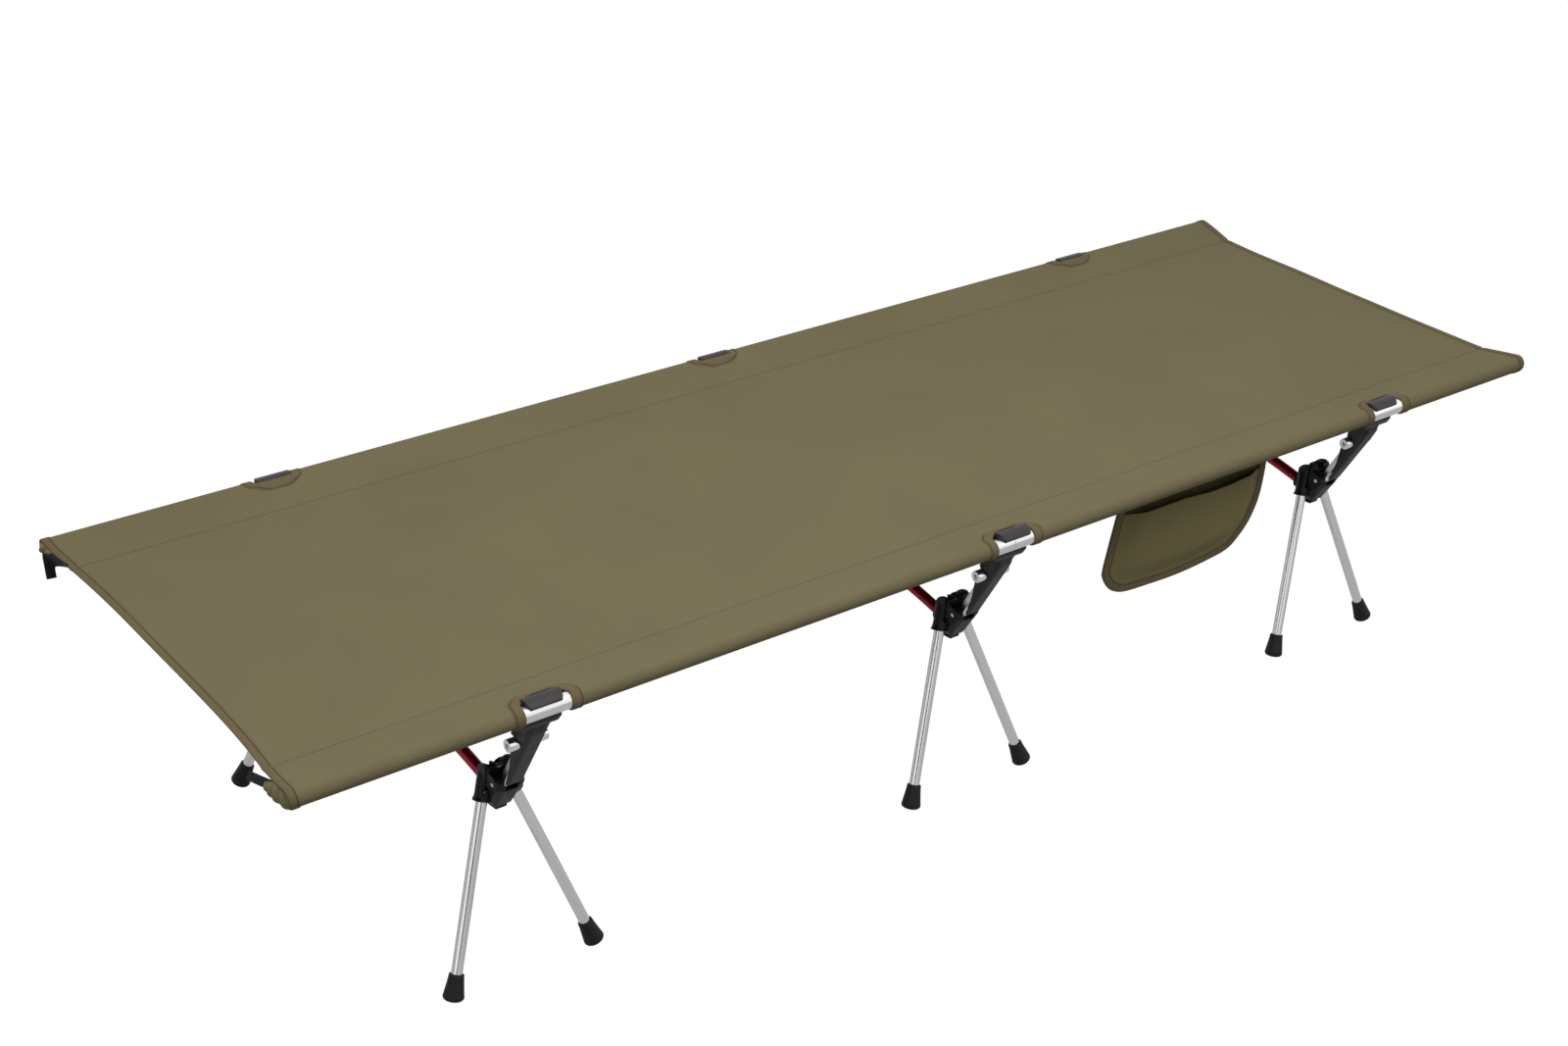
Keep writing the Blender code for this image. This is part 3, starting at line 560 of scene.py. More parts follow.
def tubeHeight(y):
    # The arch of the cross tube, straight inside the hubs' sockets.
    hubY = cot["linkPivot"][0] - crossTube["hubBack"]
    hubZ = cot["linkPivot"][1] - crossTube["hubDrop"]
    bend = hubY - crossTube["socket"]
    curve = crossTube["rise"] / (bend ** 2 + 2 * bend * (hubY - bend))
    bent = min(abs(y), bend)
    height = hubZ + crossTube["rise"] - curve * bent ** 2 - 2 * curve * bend * (abs(y) - bent)
    slope = -2 * curve * math.copysign(bent, y)
    return height, slope


def crossTubeMesh():
    # A circle carried along the arch.
    reach = cot["linkPivot"][0] - crossTube["hubBack"] + crossTube["insert"] * 0.97
    work = gridSheet(48, 40)
    layer = work.verts.layers.float_vector.new("along")
    r = crossTube["radius"]
    for vert in work.verts:
        y = vert.co.x * 2 * reach
        angle = vert.co.y * 2 * math.pi
        height, slope = tubeHeight(y)
        lean = math.atan(slope)
        off = r * math.sin(angle)
        vert[layer] = (r * math.cos(angle), off, y)
        vert.co = (r * math.cos(angle), y - off * math.sin(lean), height + off * math.cos(lean))
    bmesh.ops.remove_doubles(work, verts=work.verts, dist=1e-5)
    closeHoles(work)
    return meshFrom("archedTube", work)


for supportName, side, place in supports:
    for letter, along in (("a", -1), ("b", 1)):
        # The front supports are turned half round, so their near leg is drawn on the other side.
        legEnd = supportName + "_" + letter
        placeCopy("drawn_leg", legEnd, legMesh(side * along), place, "legMetal", "frame",
                  "leg")
        placeCopy("rubber_foot", legEnd, footMesh(side * along), place, "footRubber", "frame",
                  "foot")

for endName, stationX in stationPlaces.items():
    placeCopy("arched_tube", endName, crossTubeMesh(), Matrix.Translation((stationX, 0, 0)),
              "crossTubeMetal", "frame", "cross_tube")

pole = {"inset": 0.014, "jointX": -0.005, "jointGap": 0.0003, "wall": 0.0012, "edge": 0.0003,
        "open": 0.02}


def poleMesh(endSign, side):
    start = pole["jointX"] + endSign * pole["jointGap"] / 2
    end = endSign * (cot["halfLength"] - pole["inset"])
    length = abs(end - start)
    r, edge = cot["poleRadius"], pole["edge"]
    bore, floor = r - pole["wall"], length - pole["open"]
    profile = [(0, bore), (0, r - edge), (edge, r), (length * 0.25, r), (length * 0.5, r),
               (length * 0.75, r), (length - edge, r), (length, r - edge), (length, bore),
               (floor, bore), (floor, 0)]
    return meshFrom("drawnPole", turnedSolid(
        profile, (start, side * cot["poleY"], cot["poleZ"]), (endSign, 0, 0), sides=56))


for sideName, side in bedSides:
    for endName, endSign in bedEnds:
        poleEnd = sideName + "_" + endName
        finishPiece("drawn_pole_" + poleEnd, poleMesh(endSign, side), "poleMetal", "frame",
                    ["side_pole_" + poleEnd])
print("tubes and feet done")

hub = {
    "coreHalf": 0.0135, "cheekHalf": 0.0178, "noseHalf": 0.0098, "cheekRadius": 0.0086,
    "barrel": 0.0093, "lip": 0.0111, "socketTop": 0.0085, "socketLength": 0.0310,
    "lobeMiddle": 0.0118, "lobeHalf": 0.0068, "plateHalf": 0.0072, "webHalf": 0.0016,
    "cutHalf": 0.0030, "slotHalf": 0.0078, "slotRadius": 0.0076, "tubeOuter": 0.0101,
    "fit": 0.0003, "coreEdge": 0.0016, "plateEdge": 0.0007, "postEdge": 0.0005,
    "lobeEdge": 0.0026, "pocketEdge": 0.0008, "grooveEdge": 0.0006, "webEdge": 0.0004,
    "voxel": 0.00060, "passes": 4, "keep": 0.22,
}
# The hub's outlines, (y, z) in millimetres from the link's pivot. The plate is under the nose,
# with its front edge turned up; the web runs from the tube's socket up to the core.
hubOutlines = {
    "core": [(-33, -29), (-33.5, 0), (-31, 6), (-22, 9), (-10, 9), (-3, 5), (1, -8), (-4, -20),
             (-10, -30), (-20, -36), (-28, -34)],
    "cheek": [(-10, 12), (-21, 8), (-22, -14), (-13, -24)],
    "nose": [(10.6, -2.2), (9.9, -6.5), (5.2, -13), (-2, -21), (-6.5, -32), (-9.5, -38),
             (-21, -38)],
    "plate": [(-33, -43), (-33, -46), (-13.8, -44.4), (-12.2, -43), (-12.0, -39.6),
              (-13.8, -39.4), (-14.8, -41.6), (-22, -42)],
    "post": [(-32, -30), (-32, -45), (-21.5, -44), (-21, -30)],
    "lobe": [(-34, -10), (-33.5, 5), (-30, 11), (-25, 14.6), (-19, 16.8), (-13, 17.4),
             (-9.6, 15.5), (-8.6, 9), (-8.6, -10)],
    "web": [(-48, -16), (-33, 2), (-28, 0), (-28, -20), (-46, -24)],
    "pocket": [(-27.5, 4), (-27.5, 22), (-14, 22), (-14, 4)],
    "groove": [(-13.4, -25), (-15.6, -25), (-13.6, 22), (-11.2, 22)],
}


def hubMesh():
    y, z = cot["linkPivot"]
    lines = {name: inMillimetres((y, z), points) for name, points in hubOutlines.items()}
    solids = [barSolid(lines["core"], hub["coreHalf"], hub["coreEdge"])]
    # Cheeks and nose are one tapered block: wide at the pivot, narrow at the nose's edge.
    block = bmesh.new()
    cheek = arcPoints((y, z), hub["cheekRadius"], -60, 90, 10) + lines["cheek"]
    for half, outline in ((hub["cheekHalf"], cheek), (hub["noseHalf"], lines["nose"])):
        for side in (-1, 1):
            for point in outline:
                block.verts.new((side * half, *point))
    hull = bmesh.ops.convex_hull(block, input=block.verts)
    spare = set(vertsIn(hull["geom_interior"] + hull["geom_unused"]))
    bmesh.ops.delete(block, geom=list(spare), context="VERTS")
    solids.append(block)
    solids.append(barSolid(lines["plate"], hub["plateHalf"], hub["plateEdge"]))
    solids.append(barSolid(lines["post"], hub["plateHalf"] - 0.0008, hub["postEdge"]))
    cutters = []
    for side in (-1, 1):
        root, floor = legEnds(side)
        way = (floor - root).normalized()
        r, lip, length, top = (hub[k] for k in ("barrel", "lip", "socketLength", "socketTop"))
        lobe = side * hub["lobeMiddle"]
        # The barrel with its rolled lip, the lobe beside the link's slot, a boss at the pivot.
        solids.append(turnedSolid(
            [(-top, 0), (-top, r - 0.0010), (-top + 0.0010, r), (length * 0.4, r),
             (length - 0.0075, r), (length - 0.0035, r + 0.0006), (length - 0.0018, lip - 0.0002),
             (length - 0.0008, lip), (length, lip - 0.0006), (length, 0)], root, way, sides=40))
        solids.append(barSolid(lines["lobe"], hub["lobeHalf"], hub["lobeEdge"], 3, middle=lobe))
        solids.append(turnedSolid(
            [(0, 0), (0, 0.0050), (0.0014, 0.0044), (0.0016, 0.0038), (0.0016, 0)],
            (side * (hub["cheekHalf"] - 0.0012), y, z), (side, 0, 0), sides=28))
        # The leg's bore, the hollow in the barrel's top, the lobe's pocket, the cheek's groove.
        bore = leg["radius"] + hub["fit"]
        cutters.append(turnedSolid(
            [(0, 0), (0, bore), (length - 0.001, bore), (length + 0.001, leg["radius"] + 0.0016),
             (0.05, 0.0095), (0.05, 0)], root, way, sides=36))
        cutters.append(turnedSolid(rod(0.0020, 0.02, 0.0064), root - way * 0.004, -way, sides=32))
        cutters.append(barSolid(lines["pocket"], hub["cutHalf"], hub["pocketEdge"], middle=lobe))
        cutters.append(barSolid(lines["groove"], hub["cutHalf"], hub["grooveEdge"],
                                middle=side * (hub["cheekHalf"] + 0.0006)))
    tubeY = y - crossTube["hubBack"]
    tubeZ, slope = tubeHeight(tubeY)
    inward = Vector((0, -1, -slope)).normalized()
    start = Vector((0, tubeY, tubeZ)) - inward * 0.012
    outer = hub["tubeOuter"]
    reach = crossTube["socket"] + 0.006
    solids.append(turnedSolid(
        [(0, 0), (0, outer), (reach - 0.005, outer), (reach - 0.003, outer + 0.0011),
         (reach - 0.0006, outer + 0.0011), (reach, outer + 0.0004), (reach, 0)],
        start, inward, sides=36))
    solids.append(barSolid(lines["web"], hub["webHalf"], hub["webEdge"]))
    cutters.append(turnedSolid(rod(0, reach + 0.002, crossTube["radius"] + hub["fit"]),
                               start + inward * 0.0029, inward, sides=36))
    slotRadius = hub["slotRadius"]
    slot = arcPoints((y, z), slotRadius, 180, 270, 8)
    slot += [(y + 0.04, z - slotRadius), (y + 0.04, z + 0.05), (y - slotRadius, z + 0.05)]
    cutters.append(barSolid(slot, hub["slotHalf"]))
    return mouldedMesh("mouldedHub", solids, cutters, hub)


hubShape = hubMesh()
for supportName, side, place in supports:
    placeCopy("moulded_hub", supportName, hubShape, place, "hubPlastic", "frame",
              "hub", angle=60)
print("hubs done")

link = {"halfWidth": 0.0072, "halfThickness": 0.0040, "eye": 0.0070, "rivet": 0.0025,
        "rivetOut": 0.0012, "edge": 0.0006}
lever = {
    "halfWidth": 0.0115, "face": 0.0128, "tail": 0.0120, "wall": 0.0024, "web": 0.0030,
    "round": 0.0046, "tailRound": 0.0032,
    "head": 0.0190, "tab": 0.0232, "tabCorner": 0.0046, "hook": 0.0250, "hookInner": 0.0104,
    "hookWall": 0.0028,
    "pin": 0.0047, "boss": 0.0118, "bossRadius": 0.0086, "neck": 0.0860, "crown": 0.0669,
    "travel": 132, "clear": 0.0006, "edge": 0.0007, "headEdge": 0.0014, "troughEdge": 0.0005,
    "cornerStart": 0.0010, "cornerRun": 0.0084, "lipStart": 0.0170, "lipLean": 0.45,
    "bossEdge": 0.0006, "behindHead": -0.0080,
    # The arm's rear edge: how far out it lies at the tail, its slope, where the slope starts.
    "rear": (0.0094, 0.236, 0.009), "wallLeft": 0.0008,
    "voxel": 0.00055, "passes": 3, "keep": 0.25,
    # The tab's outline, (y, z) in millimetres from the pole's middle.
    "tabOutline": [
        (9.4, 9.0), (8.2, 10.6), (6.5, 12.0), (4.4, 13.5), (2, 14.6), (-0.6, 15.5), (-3, 15.9),
        (-5.4, 15.9), (-7.5, 15.4), (-9.4, 14.3), (-10.8, 12.8), (-12.0, 10.9), (-12.7, 8.5),
        (-13.2, 4), (-13.2, -2), (-8.6, -2), (-6, 6.4), (0, 9.0), (6.6, 6.4)],
    "lipOutline": [(-13.5, -8), (-5.5, -8), (-2.2, -12.2), (-2.0, -18), (-5.2, -24.6),
                   (-7.8, -25.2), (-13, -20)],
}
pin = {"radius": 0.0076, "length": 0.0124, "chamfer": 0.0008, "hex": 0.0030, "depth": 0.0040,
       "drill": 0.0014, "dish": 0.0046, "fit": 0.0003}


def pinHole():
    # The hole for the barrel pin, in the link and in the lever.
    return turnedSolid(rod(-0.03, 0.03, lever["pin"] + pin["fit"]), (0, *cot["leverPivot"]),
                       (1, 0, 0), sides=28)


def linkMesh():
    # A flat bar with a round eye at each end, and the rivet that holds it in the hub.
    neck = math.degrees(math.asin(link["halfThickness"] / link["eye"]))
    angle = cot["linkAngle"]
    outline = arcPoints(cot["linkPivot"], link["eye"], angle + neck, angle + 360 - neck, 20)
    outline += arcPoints(cot["leverPivot"], link["eye"], angle - 180 + neck,
                         angle + 180 - neck, 20)
    bar = barSolid(outline, link["halfWidth"], link["edge"])
    y, z = cot["linkPivot"]
    reach, r = hub["cheekHalf"] + link["rivetOut"], link["rivet"]
    half = [(reach, r), (reach + 0.0003, r * 0.6), (reach + 0.0004, 0)]
    rivet = turnedSolid([(-along, radius) for along, radius in reversed(half)] + half, (0, y, z),
                        (1, 0, 0), sides=28)
    mesh = mouldedMesh("linkBar", [bar, rivet], [pinHole()])
    # The link's own place, with z along it, for the drawn streaks.
    layer = mesh.attributes.get("along") or mesh.attributes.new("along", "FLOAT_VECTOR", "POINT")
    turn = Matrix.Rotation(math.radians(90 - angle), 4, "X").inverted()
    for vert in mesh.vertices:
        layer.data[vert.index].vector = turn @ (vert.co - Vector((0, y, z)))
    return mesh


def pinMesh():
    shoulder = lever["boss"] + 0.0002
    end = shoulder + pin["length"]
    c, r, dish = pin["chamfer"], pin["radius"], pin["dish"]
    half = [(shoulder, lever["pin"]), (shoulder, r - 0.0004), (shoulder + 0.0004, r),
            (end - c, r), (end - c * 0.4, r - c * 0.3), (end, r - c), (end, dish),
            (end - 0.0003, 0.0043), (end - 0.0003, 0)]
    profile = [(-along, radius) for along, radius in reversed(half)] + half
    pivot = cot["leverPivot"]
    solid = turnedSolid(profile, (0, *pivot), (1, 0, 0), sides=48)
    holes = []
    for side in (-1, 1):
        for hole, floor, sides in ((rod(0, 0.02, pin["hex"]), end - pin["depth"], 6),
                                   (rod(0, 0.004, pin["drill"]), end - pin["depth"] - 0.003, 16)):
            holes.append(turnedSolid(hole, (side * floor, *pivot), (side, 0, 0), sides=sides))
    return mouldedMesh("barrelPin", [solid], holes)


def leverMesh():
    tail, face, top = (lever[k] for k in ("tail", "face", "neck"))
    crown = top + lever["crown"]
    y, z = poleCentre = (cot["poleY"], cot["poleZ"])

    def onLink(points):
        return [tuple(linkPoint(s, n).yz) for s, n in points]

    arm = onLink([(tail - 0.0010, 0.0104), (tail - 0.0002, 0.0094), (tail + 0.009, 0.0088),
                  (top / 2, 0.0036), (top - 0.026, -0.0030), (top - 0.012, -0.0080),
                  (top + 0.004, -0.0090), (top + 0.020, -0.0080), (crown - 0.0289, -0.0060),
                  (crown - 0.0169, 0.0020), (crown - 0.0205, 0.0052), (crown - 0.0250, 0.0074),
                  (crown - 0.0300, 0.0102), (crown - 0.0365, 0.0124), (top + 0.020, face),
                  (tail + 0.0020, face), (tail - 0.0002, 0.0118)])

    def roundFront(work):
        # The arm's two long front edges fall away in an arc, and its tail's corners are cut.
        half, r, corner = lever["halfWidth"], lever["round"], lever["tailRound"]
        rearEdge, rearSlope, rearStart = lever["rear"]
        for share in (0, 0.5, 0.75, 0.9, 1.0):
            for side in (-1, 1):
                bmesh.ops.bisect_plane(
                    work, geom=work.verts[:] + work.edges[:] + work.faces[:],
                    plane_co=(side * (half - r * (1 - share) - 0.0002), 0, 0),
                    plane_no=(1, 0, 0))
        pivot = linkPoint(0, 0)
        up, out = linkPoint(1, 0) - pivot, linkPoint(0, 1) - pivot
        for vert in work.verts:
            s, n = (vert.co - pivot).dot(up), (vert.co - pivot).dot(out)
            past = abs(vert.co.x) - (half - r)
            if n > 0.0100 and past > 0:
                rear = rearEdge - rearSlope * max(0.0, s - tail - rearStart)
                drop = r - math.sqrt(max(r * r - past * past, 0))
                vert.co -= out * min(drop, max(0.0, n - rear - lever["wallLeft"]))
            past = abs(vert.co.x) - (half - corner)
            if s < tail + 0.0030 and past > 0:
                vert.co += up * (corner - math.sqrt(max(corner ** 2 - past ** 2, 0)))

    solids = [barSolid(arm, lever["halfWidth"], shape=roundFront)]
    # The head widens from the arm to the hook.
    head = bmesh.new()
    behind = lever["behindHead"]
    for s, wide, front, narrow in (
            (top + 0.0098, lever["head"], face - 0.0030, lever["halfWidth"] + 0.0002),
            (crown - 0.0134, lever["tab"], 0.0046, lever["tab"] - 0.003)):
        head.faces.new([head.verts.new(linkPoint(s, n, x)) for n, x in (
            (behind, -wide), (behind, wide), (front, narrow), (front, -narrow))])
    bmesh.ops.bridge_loops(head, edges=head.edges[:])
    bmesh.ops.recalc_face_normals(head, faces=head.faces)
    bmesh.ops.bevel(head, geom=head.edges[:], offset=lever["headEdge"], segments=3, profile=0.5,
                    affect="EDGES", material=-1)
    solids.append(head)
    inner = lever["hookInner"]
    outer = inner + lever["hookWall"]

    def cutCorners(work):
        # The tab's front corners are cut away in plan.
        for vert in work.verts:
            past = max(0.0, vert.co.y - y - lever["cornerStart"]) / lever["cornerRun"]
            vert.co.x -= math.copysign(lever["tabCorner"] * past ** 1.4, vert.co.x)

    solids.append(barSolid(inMillimetres(poleCentre, lever["tabOutline"]), lever["tab"],
                           lever["edge"], shape=cutCorners))
    trough = arcPoints(poleCentre, outer, 168, 243, 10)
    trough += arcPoints(poleCentre, inner - 0.001, 243, 168, 10)
    solids.append(barSolid(trough, lever["hook"], lever["troughEdge"]))

    def slopeLip(work):
        # The lip's ends lean in towards its lower edge.
        for vert in work.verts:
            below = max(0.0, z - lever["lipStart"] - vert.co.z)
            vert.co.x -= math.copysign(below * lever["lipLean"], vert.co.x)

    solids.append(barSolid(inMillimetres(poleCentre, lever["lipOutline"]), lever["hook"],
                           lever["edge"], shape=slopeLip))
    solids.append(turnedSolid(rod(-lever["boss"], lever["boss"], lever["bossRadius"],
                                  lever["bossEdge"]), (0, *cot["leverPivot"]), (1, 0, 0),
                              sides=36))

    cutters = [turnedSolid(rod(-0.05, 0.05, inner), (0, y, z), (1, 0, 0), sides=64)]
    # The arm is hollow behind, as far round as the link swings in it.
    web = face - lever["web"]
    travel = 180 - lever["travel"]
    beside = link["halfThickness"] + lever["clear"]
    meet = travel - math.degrees(math.asin(beside / web))
    angle = cot["linkAngle"]
    room = onLink([(tail - 0.01, -0.05), (tail - 0.01, web), (top, web)])
    room += arcPoints(cot["leverPivot"], web, angle - 73, angle + meet, 9)
    far, rise = 0.04, math.radians(travel)
    room += onLink([(top + far * math.cos(rise) + beside * math.sin(rise),
                     beside * math.cos(rise) - far * math.sin(rise))])
    cutters.append(barSolid(room, lever["halfWidth"] - lever["wall"]))
    return mouldedMesh("mouldedLever", solids, cutters + [pinHole()], lever)


linkShape, pinShape, leverShape = linkMesh(), pinMesh(), leverMesh()
for supportName, side, place in supports:
    placeCopy("link_bar", supportName, linkShape, place, "linkMetal",
              "tensioner_link_" + supportName, "link")
    placeCopy("moulded_lever", supportName, leverShape, place, "leverPlastic",
              "tensioner_lever_" + supportName, "lever", angle=50)
    placeCopy("barrel_pin", supportName, pinShape, place, "pinMetal",
              "tensioner_lever_" + supportName, "lever_pin")
print("tensioners done")

cloth = {
    "seam": 0.245, "radius": 0.0108, "thickness": 0.0010, "hem": 0.009,
    "endMiddle": 0.9406, "endSeam": 0.9446, "endCrest": 0.9492, "endUnder": 0.9410,
    "endDraw": 0.008, "skew": 0.010, "sag": 0.0025, "lap": 0.0012, "slide": {-1: 0.0080, 1: 0.0040},
    # How much of the slide is reached at the seam, then added by the crest and by the underside.
    "slideShares": (0.35, 0.65, 0.25),
    # Soft waves as (how often along, how often across, seed, height), and the seam's dent.
    "waves": ((5, 9, 1.7, 0.0011), (17, 6, 4.1, 0.0004)), "dent": 0.0011, "dentRun": 0.0035,
}
# Each support shows through an opening in the sleeve, sewn a few millimetres off its middle.
opening = {
    "half": {"front": 0.0297, "back": 0.0262}, "top": 0.2942, "bottom": 0.3674,
    "tent": 0.0052, "tentStart": 0.2815, "tentHalf": 0.017, "tentRun": 0.024,
    "wideCorner": 0.021, "deepCorner": 0.015, "lowCorner": 0.010,
    "offset": {"front_near": 0.0015, "front_middle": -0.0037, "front_far": 0.0030,
               "back_near": 0.0, "back_middle": 0.0, "back_far": 0.0},
}
sleeveSlope = math.asin(cloth["radius"] / (cot["poleY"] - cloth["seam"]))
sleeveRun = math.sqrt((cot["poleY"] - cloth["seam"]) ** 2 - cloth["radius"] ** 2)
sleeveTurn = math.pi + 2 * sleeveSlope
sleeveArc = sleeveTurn * cloth["radius"]
crestS = cloth["seam"] + sleeveRun
underS = crestS + sleeveArc
halfCut = underS + sleeveRun


def clothPoint(x, s, lift=0.0):
    # Where a point of the flat cut lies: x along the bed, s across it from the middle.
    a = abs(s)
    side = 1 if s >= 0 else -1
    seam, z0, lap = cloth["seam"], cot["poleZ"], cloth["lap"]
    upY, upZ = math.cos(sleeveSlope), math.sin(sleeveSlope)
    if a <= seam:
        along = abs(x) / cloth["endMiddle"]
        dip = cloth["sag"] * (1 - (a / seam) ** 2) * max(0.0, 1 - along ** 2)
        y, z, ny, nz = a, z0 - dip, 0.0, 1.0
    elif a <= crestS:
        y, z, ny, nz = seam + (a - seam) * upY, z0 + (a - seam) * upZ, -upZ, upY
    elif a <= underS:
        angle = math.pi / 2 + sleeveSlope - (a - crestS) / cloth["radius"]
        ny, nz = math.cos(angle), math.sin(angle)
        y, z = cot["poleY"] + cloth["radius"] * ny, z0 + cloth["radius"] * nz
    elif a <= halfCut:
        t = halfCut - a
        y, z, ny, nz = seam + t * upY, z0 - t * upZ - lap * (1 - t / sleeveRun), -upZ, -upY
    else:
        y, z, ny, nz = seam - (a - halfCut), z0 - lap, 0.0, -1.0
    return Vector((x, side * (y + ny * lift), z + nz * lift))


def clothSlide(s, endSign):
    # The front sleeve lies a few millimetres along towards the near end.
    seam = cloth["seam"]
    atSeam, byCrest, byUnder = cloth["slideShares"]
    share = atSeam * held(-s / seam) ** 4 + byCrest * held((-s - seam) / (crestS - seam))
    share += byUnder * held((-s - crestS) / (underS - crestS))
    return -endSign * cloth["slide"][endSign] * share


def clothEnd(s, endSign):
    # How far the cloth reaches along the bed at s: hollow in the middle, out to the poles.
    a, seam = abs(s), cloth["seam"]
    middle = cloth["endMiddle"] - cloth["skew"] * max(-seam, min(seam, s))
    end = middle + (cloth["endSeam"] - cloth["endMiddle"]) * held(a / seam) ** 4
    rise = held((a - seam) / (crestS - seam))
    reach = end + (cloth["endCrest"] - end) * math.sin(rise * math.pi / 2) ** 1.2
    # Round the pole and back below it the cloth draws in, which opens the sleeve's mouth.
    fall = held((a - crestS) / (underS - crestS))
    reach -= (cloth["endCrest"] - cloth["endUnder"]) * fall ** 2.5
    reach -= cloth["endDraw"] * held((a - underS) / sleeveRun) ** 1.3
    return reach + clothSlide(s, endSign)


def openingLine(half):
    # The outline of an opening in the flat cut, evenly spaced, as (along, s) points.
    wide, deep, low = opening["wideCorner"], opening["deepCorner"], opening["lowCorner"]
    corners = [(half - wide, opening["top"] + deep, wide, deep, -90),
               (half - low, opening["bottom"] - low, low, low, 0),
               (low - half, opening["bottom"] - low, low, low, 90),
               (wide - half, opening["top"] + deep, wide, deep, 180)]
    line = []
    for along, s, rx, rs, first in corners:
        for i in range(13):
            angle = math.radians(first + 90 * i / 12)
            line.append(Vector((along + rx * math.cos(angle), s + rs * math.sin(angle))))
    return evenLine(line + line[:1], 120)[:-1]


def evenLine(points, count):
    # The same line, cut into equal steps.
    lengths = [0.0]
    for a, b in zip(points, points[1:]):
        lengths.append(lengths[-1] + (b - a).length)
    line, spot = [], 0
    for i in range(count + 1):
        want = lengths[-1] * i / count
        while spot < len(lengths) - 2 and lengths[spot + 1] < want:
            spot += 1
        run = lengths[spot + 1] - lengths[spot]
        line.append(points[spot].lerp(points[spot + 1], (want - lengths[spot]) / run if run
                                      else 0))
    return line


openings = []
for endName, stationX in stationPlaces.items():
    for sideName, side in bedSides:
        label = sideName + "_" + endName
        openings.append((label, side, stationX + opening["offset"][label],
                         openingLine(opening["half"][sideName])))


def toOpening(x, s):
    # Signed distance to the nearest opening's edge, below zero inside it, and the edge's point.
    for label, side, centre, line in openings:
        if side * s > 0 and abs(x - centre) < 0.040 and 0.286 < abs(s) < 0.375:
            break
    else:
        return 1.0, None
    spot = Vector((x - centre, abs(s)))
    best, nearest, inside = 1.0, None, True
    for a, b in zip(line, line[1:] + line[:1]):
        run = b - a
        t = min(1.0, max(0.0, (spot - a).dot(run) / run.length_squared))
        point = a + run * t
        away = (spot - point).length
        if away < best:
            best, nearest = away, point
        if run.x * (spot.y - a.y) - run.y * (spot.x - a.x) < 0:
            inside = False
    return (-best if inside else best), (nearest.x + centre, side * nearest.y)


def spread(stops, counts):
    # Row places with a chosen number of steps between each pair of stops.
    rows = [stops[0]]
    for low, high, count in zip(stops, stops[1:], counts):
        rows += [low + (high - low) * (i + 1) / count for i in range(count)]
    return rows


def bedSheet():
    wide = opening["half"]["front"] + 0.020
    full, station = cot["halfLength"], cot["station"]
    columns = spread([-full, -station - wide, -station + wide, -wide, wide, station - wide,
                      station + wide, full], [20, 54, 36, 54, 36, 54, 20])
    last = halfCut + cloth["hem"]
    half = [cloth["seam"] - 0.0084, cloth["seam"] + 0.0084, opening["top"] - 0.004,
            opening["bottom"] + 0.003, halfCut, last]
    rows = spread([-v for v in reversed(half)] + half, [1, 8, 34, 6, 12, 22, 12, 6, 34, 8, 1])
    work = gridSheet(len(columns) - 1, len(rows) - 1)
    flat = {}
    for vert in work.verts:
        column = columns[round((vert.co.x + 0.5) * (len(columns) - 1))]
        s = rows[round((vert.co.y + 0.5) * (len(rows) - 1))]
        flat[vert] = [column / full * clothEnd(s, 1 if column > 0 else -1), s]
    # Points close to an opening's edge move on to it, and the cloth inside is removed.
    for place in flat.values():
        distance, edge = toOpening(*place)
        if abs(distance) < 0.0016:
            place[0], place[1] = edge
    inside = []
    for face in work.faces:
        x = sum(flat[v][0] for v in face.verts) / 4
        s = sum(flat[v][1] for v in face.verts) / 4
        if toOpening(x, s)[0] < 0:
            inside.append(face)
    layMap(work, flat.get)
    for vert, (x, s) in flat.items():
        vert.co = onCloth(x, s)
    bmesh.ops.delete(work, geom=inside, context="FACES")
    return meshFrom("bedSheet", work, outwards=False)


def clothTent(x, s):
    # The edge of an opening rides up against the hook that comes through it.
    a = abs(s)
    if not opening["tentStart"] < a < crestS:
        return 0.0
    away = min(abs(x - centre) for _, side, centre, _ in openings if side * s > 0)
    top, start = opening["top"], opening["tentStart"]
    rise = softStep((a - start) / (top - start)) if a < top else (crestS - a) / (crestS - top)
    near = 1 - softStep((away - opening["tentHalf"]) / opening["tentRun"])
    return opening["tent"] * rise * near


def clothRipple(x, s):
    # Small uneven tension: soft waves on the flat and the sleeves, none where the pole holds.
    past = abs(s) - cloth["seam"]
    lift = clothTent(x, s)
    if abs(s) <= crestS - 0.004:
        wave = sum(noise.noise(Vector((x * along, s * across, seed))) * height
                   for along, across, seed, height in cloth["waves"])
        wave *= 1 - max(0.0, past) / sleeveRun
        wave *= min(1.0, abs(past) / 0.02 + 0.25)
        lift += wave - math.exp(-(past / cloth["dentRun"]) ** 2) * cloth["dent"]
    return Vector((0, 0, lift))


def onCloth(x, s, lift=0.0):
    return clothPoint(x, s, lift) + clothRipple(x, s)


bed = finishPiece("bed_sheet", bedSheet(), "bedCloth", "frame", ["bed_fabric"],
                  angle=80)
thicken(bed, cloth["thickness"])
print("bed sheet done")

# The stitches run "sewn" in from a tape's edge, at a height that depends on the tape's lift.
tape = {"openWidth": 0.0124, "openLift": 0.0015, "openLength": 0.28, "endWidth": 0.0100,
        "mouthLift": 1.35, "mouthUnder": 0.0016, "wall": 0.00045, "sewn": 0.0022,
        "stitchLift": 0.92}
stitch = {"length": 0.0026, "gap": 0.0016, "thick": 0.00032}
seamStitch = {"length": 0.0028, "gap": 0.0014, "thick": 0.00036, "count": 320, "short": 0.012}


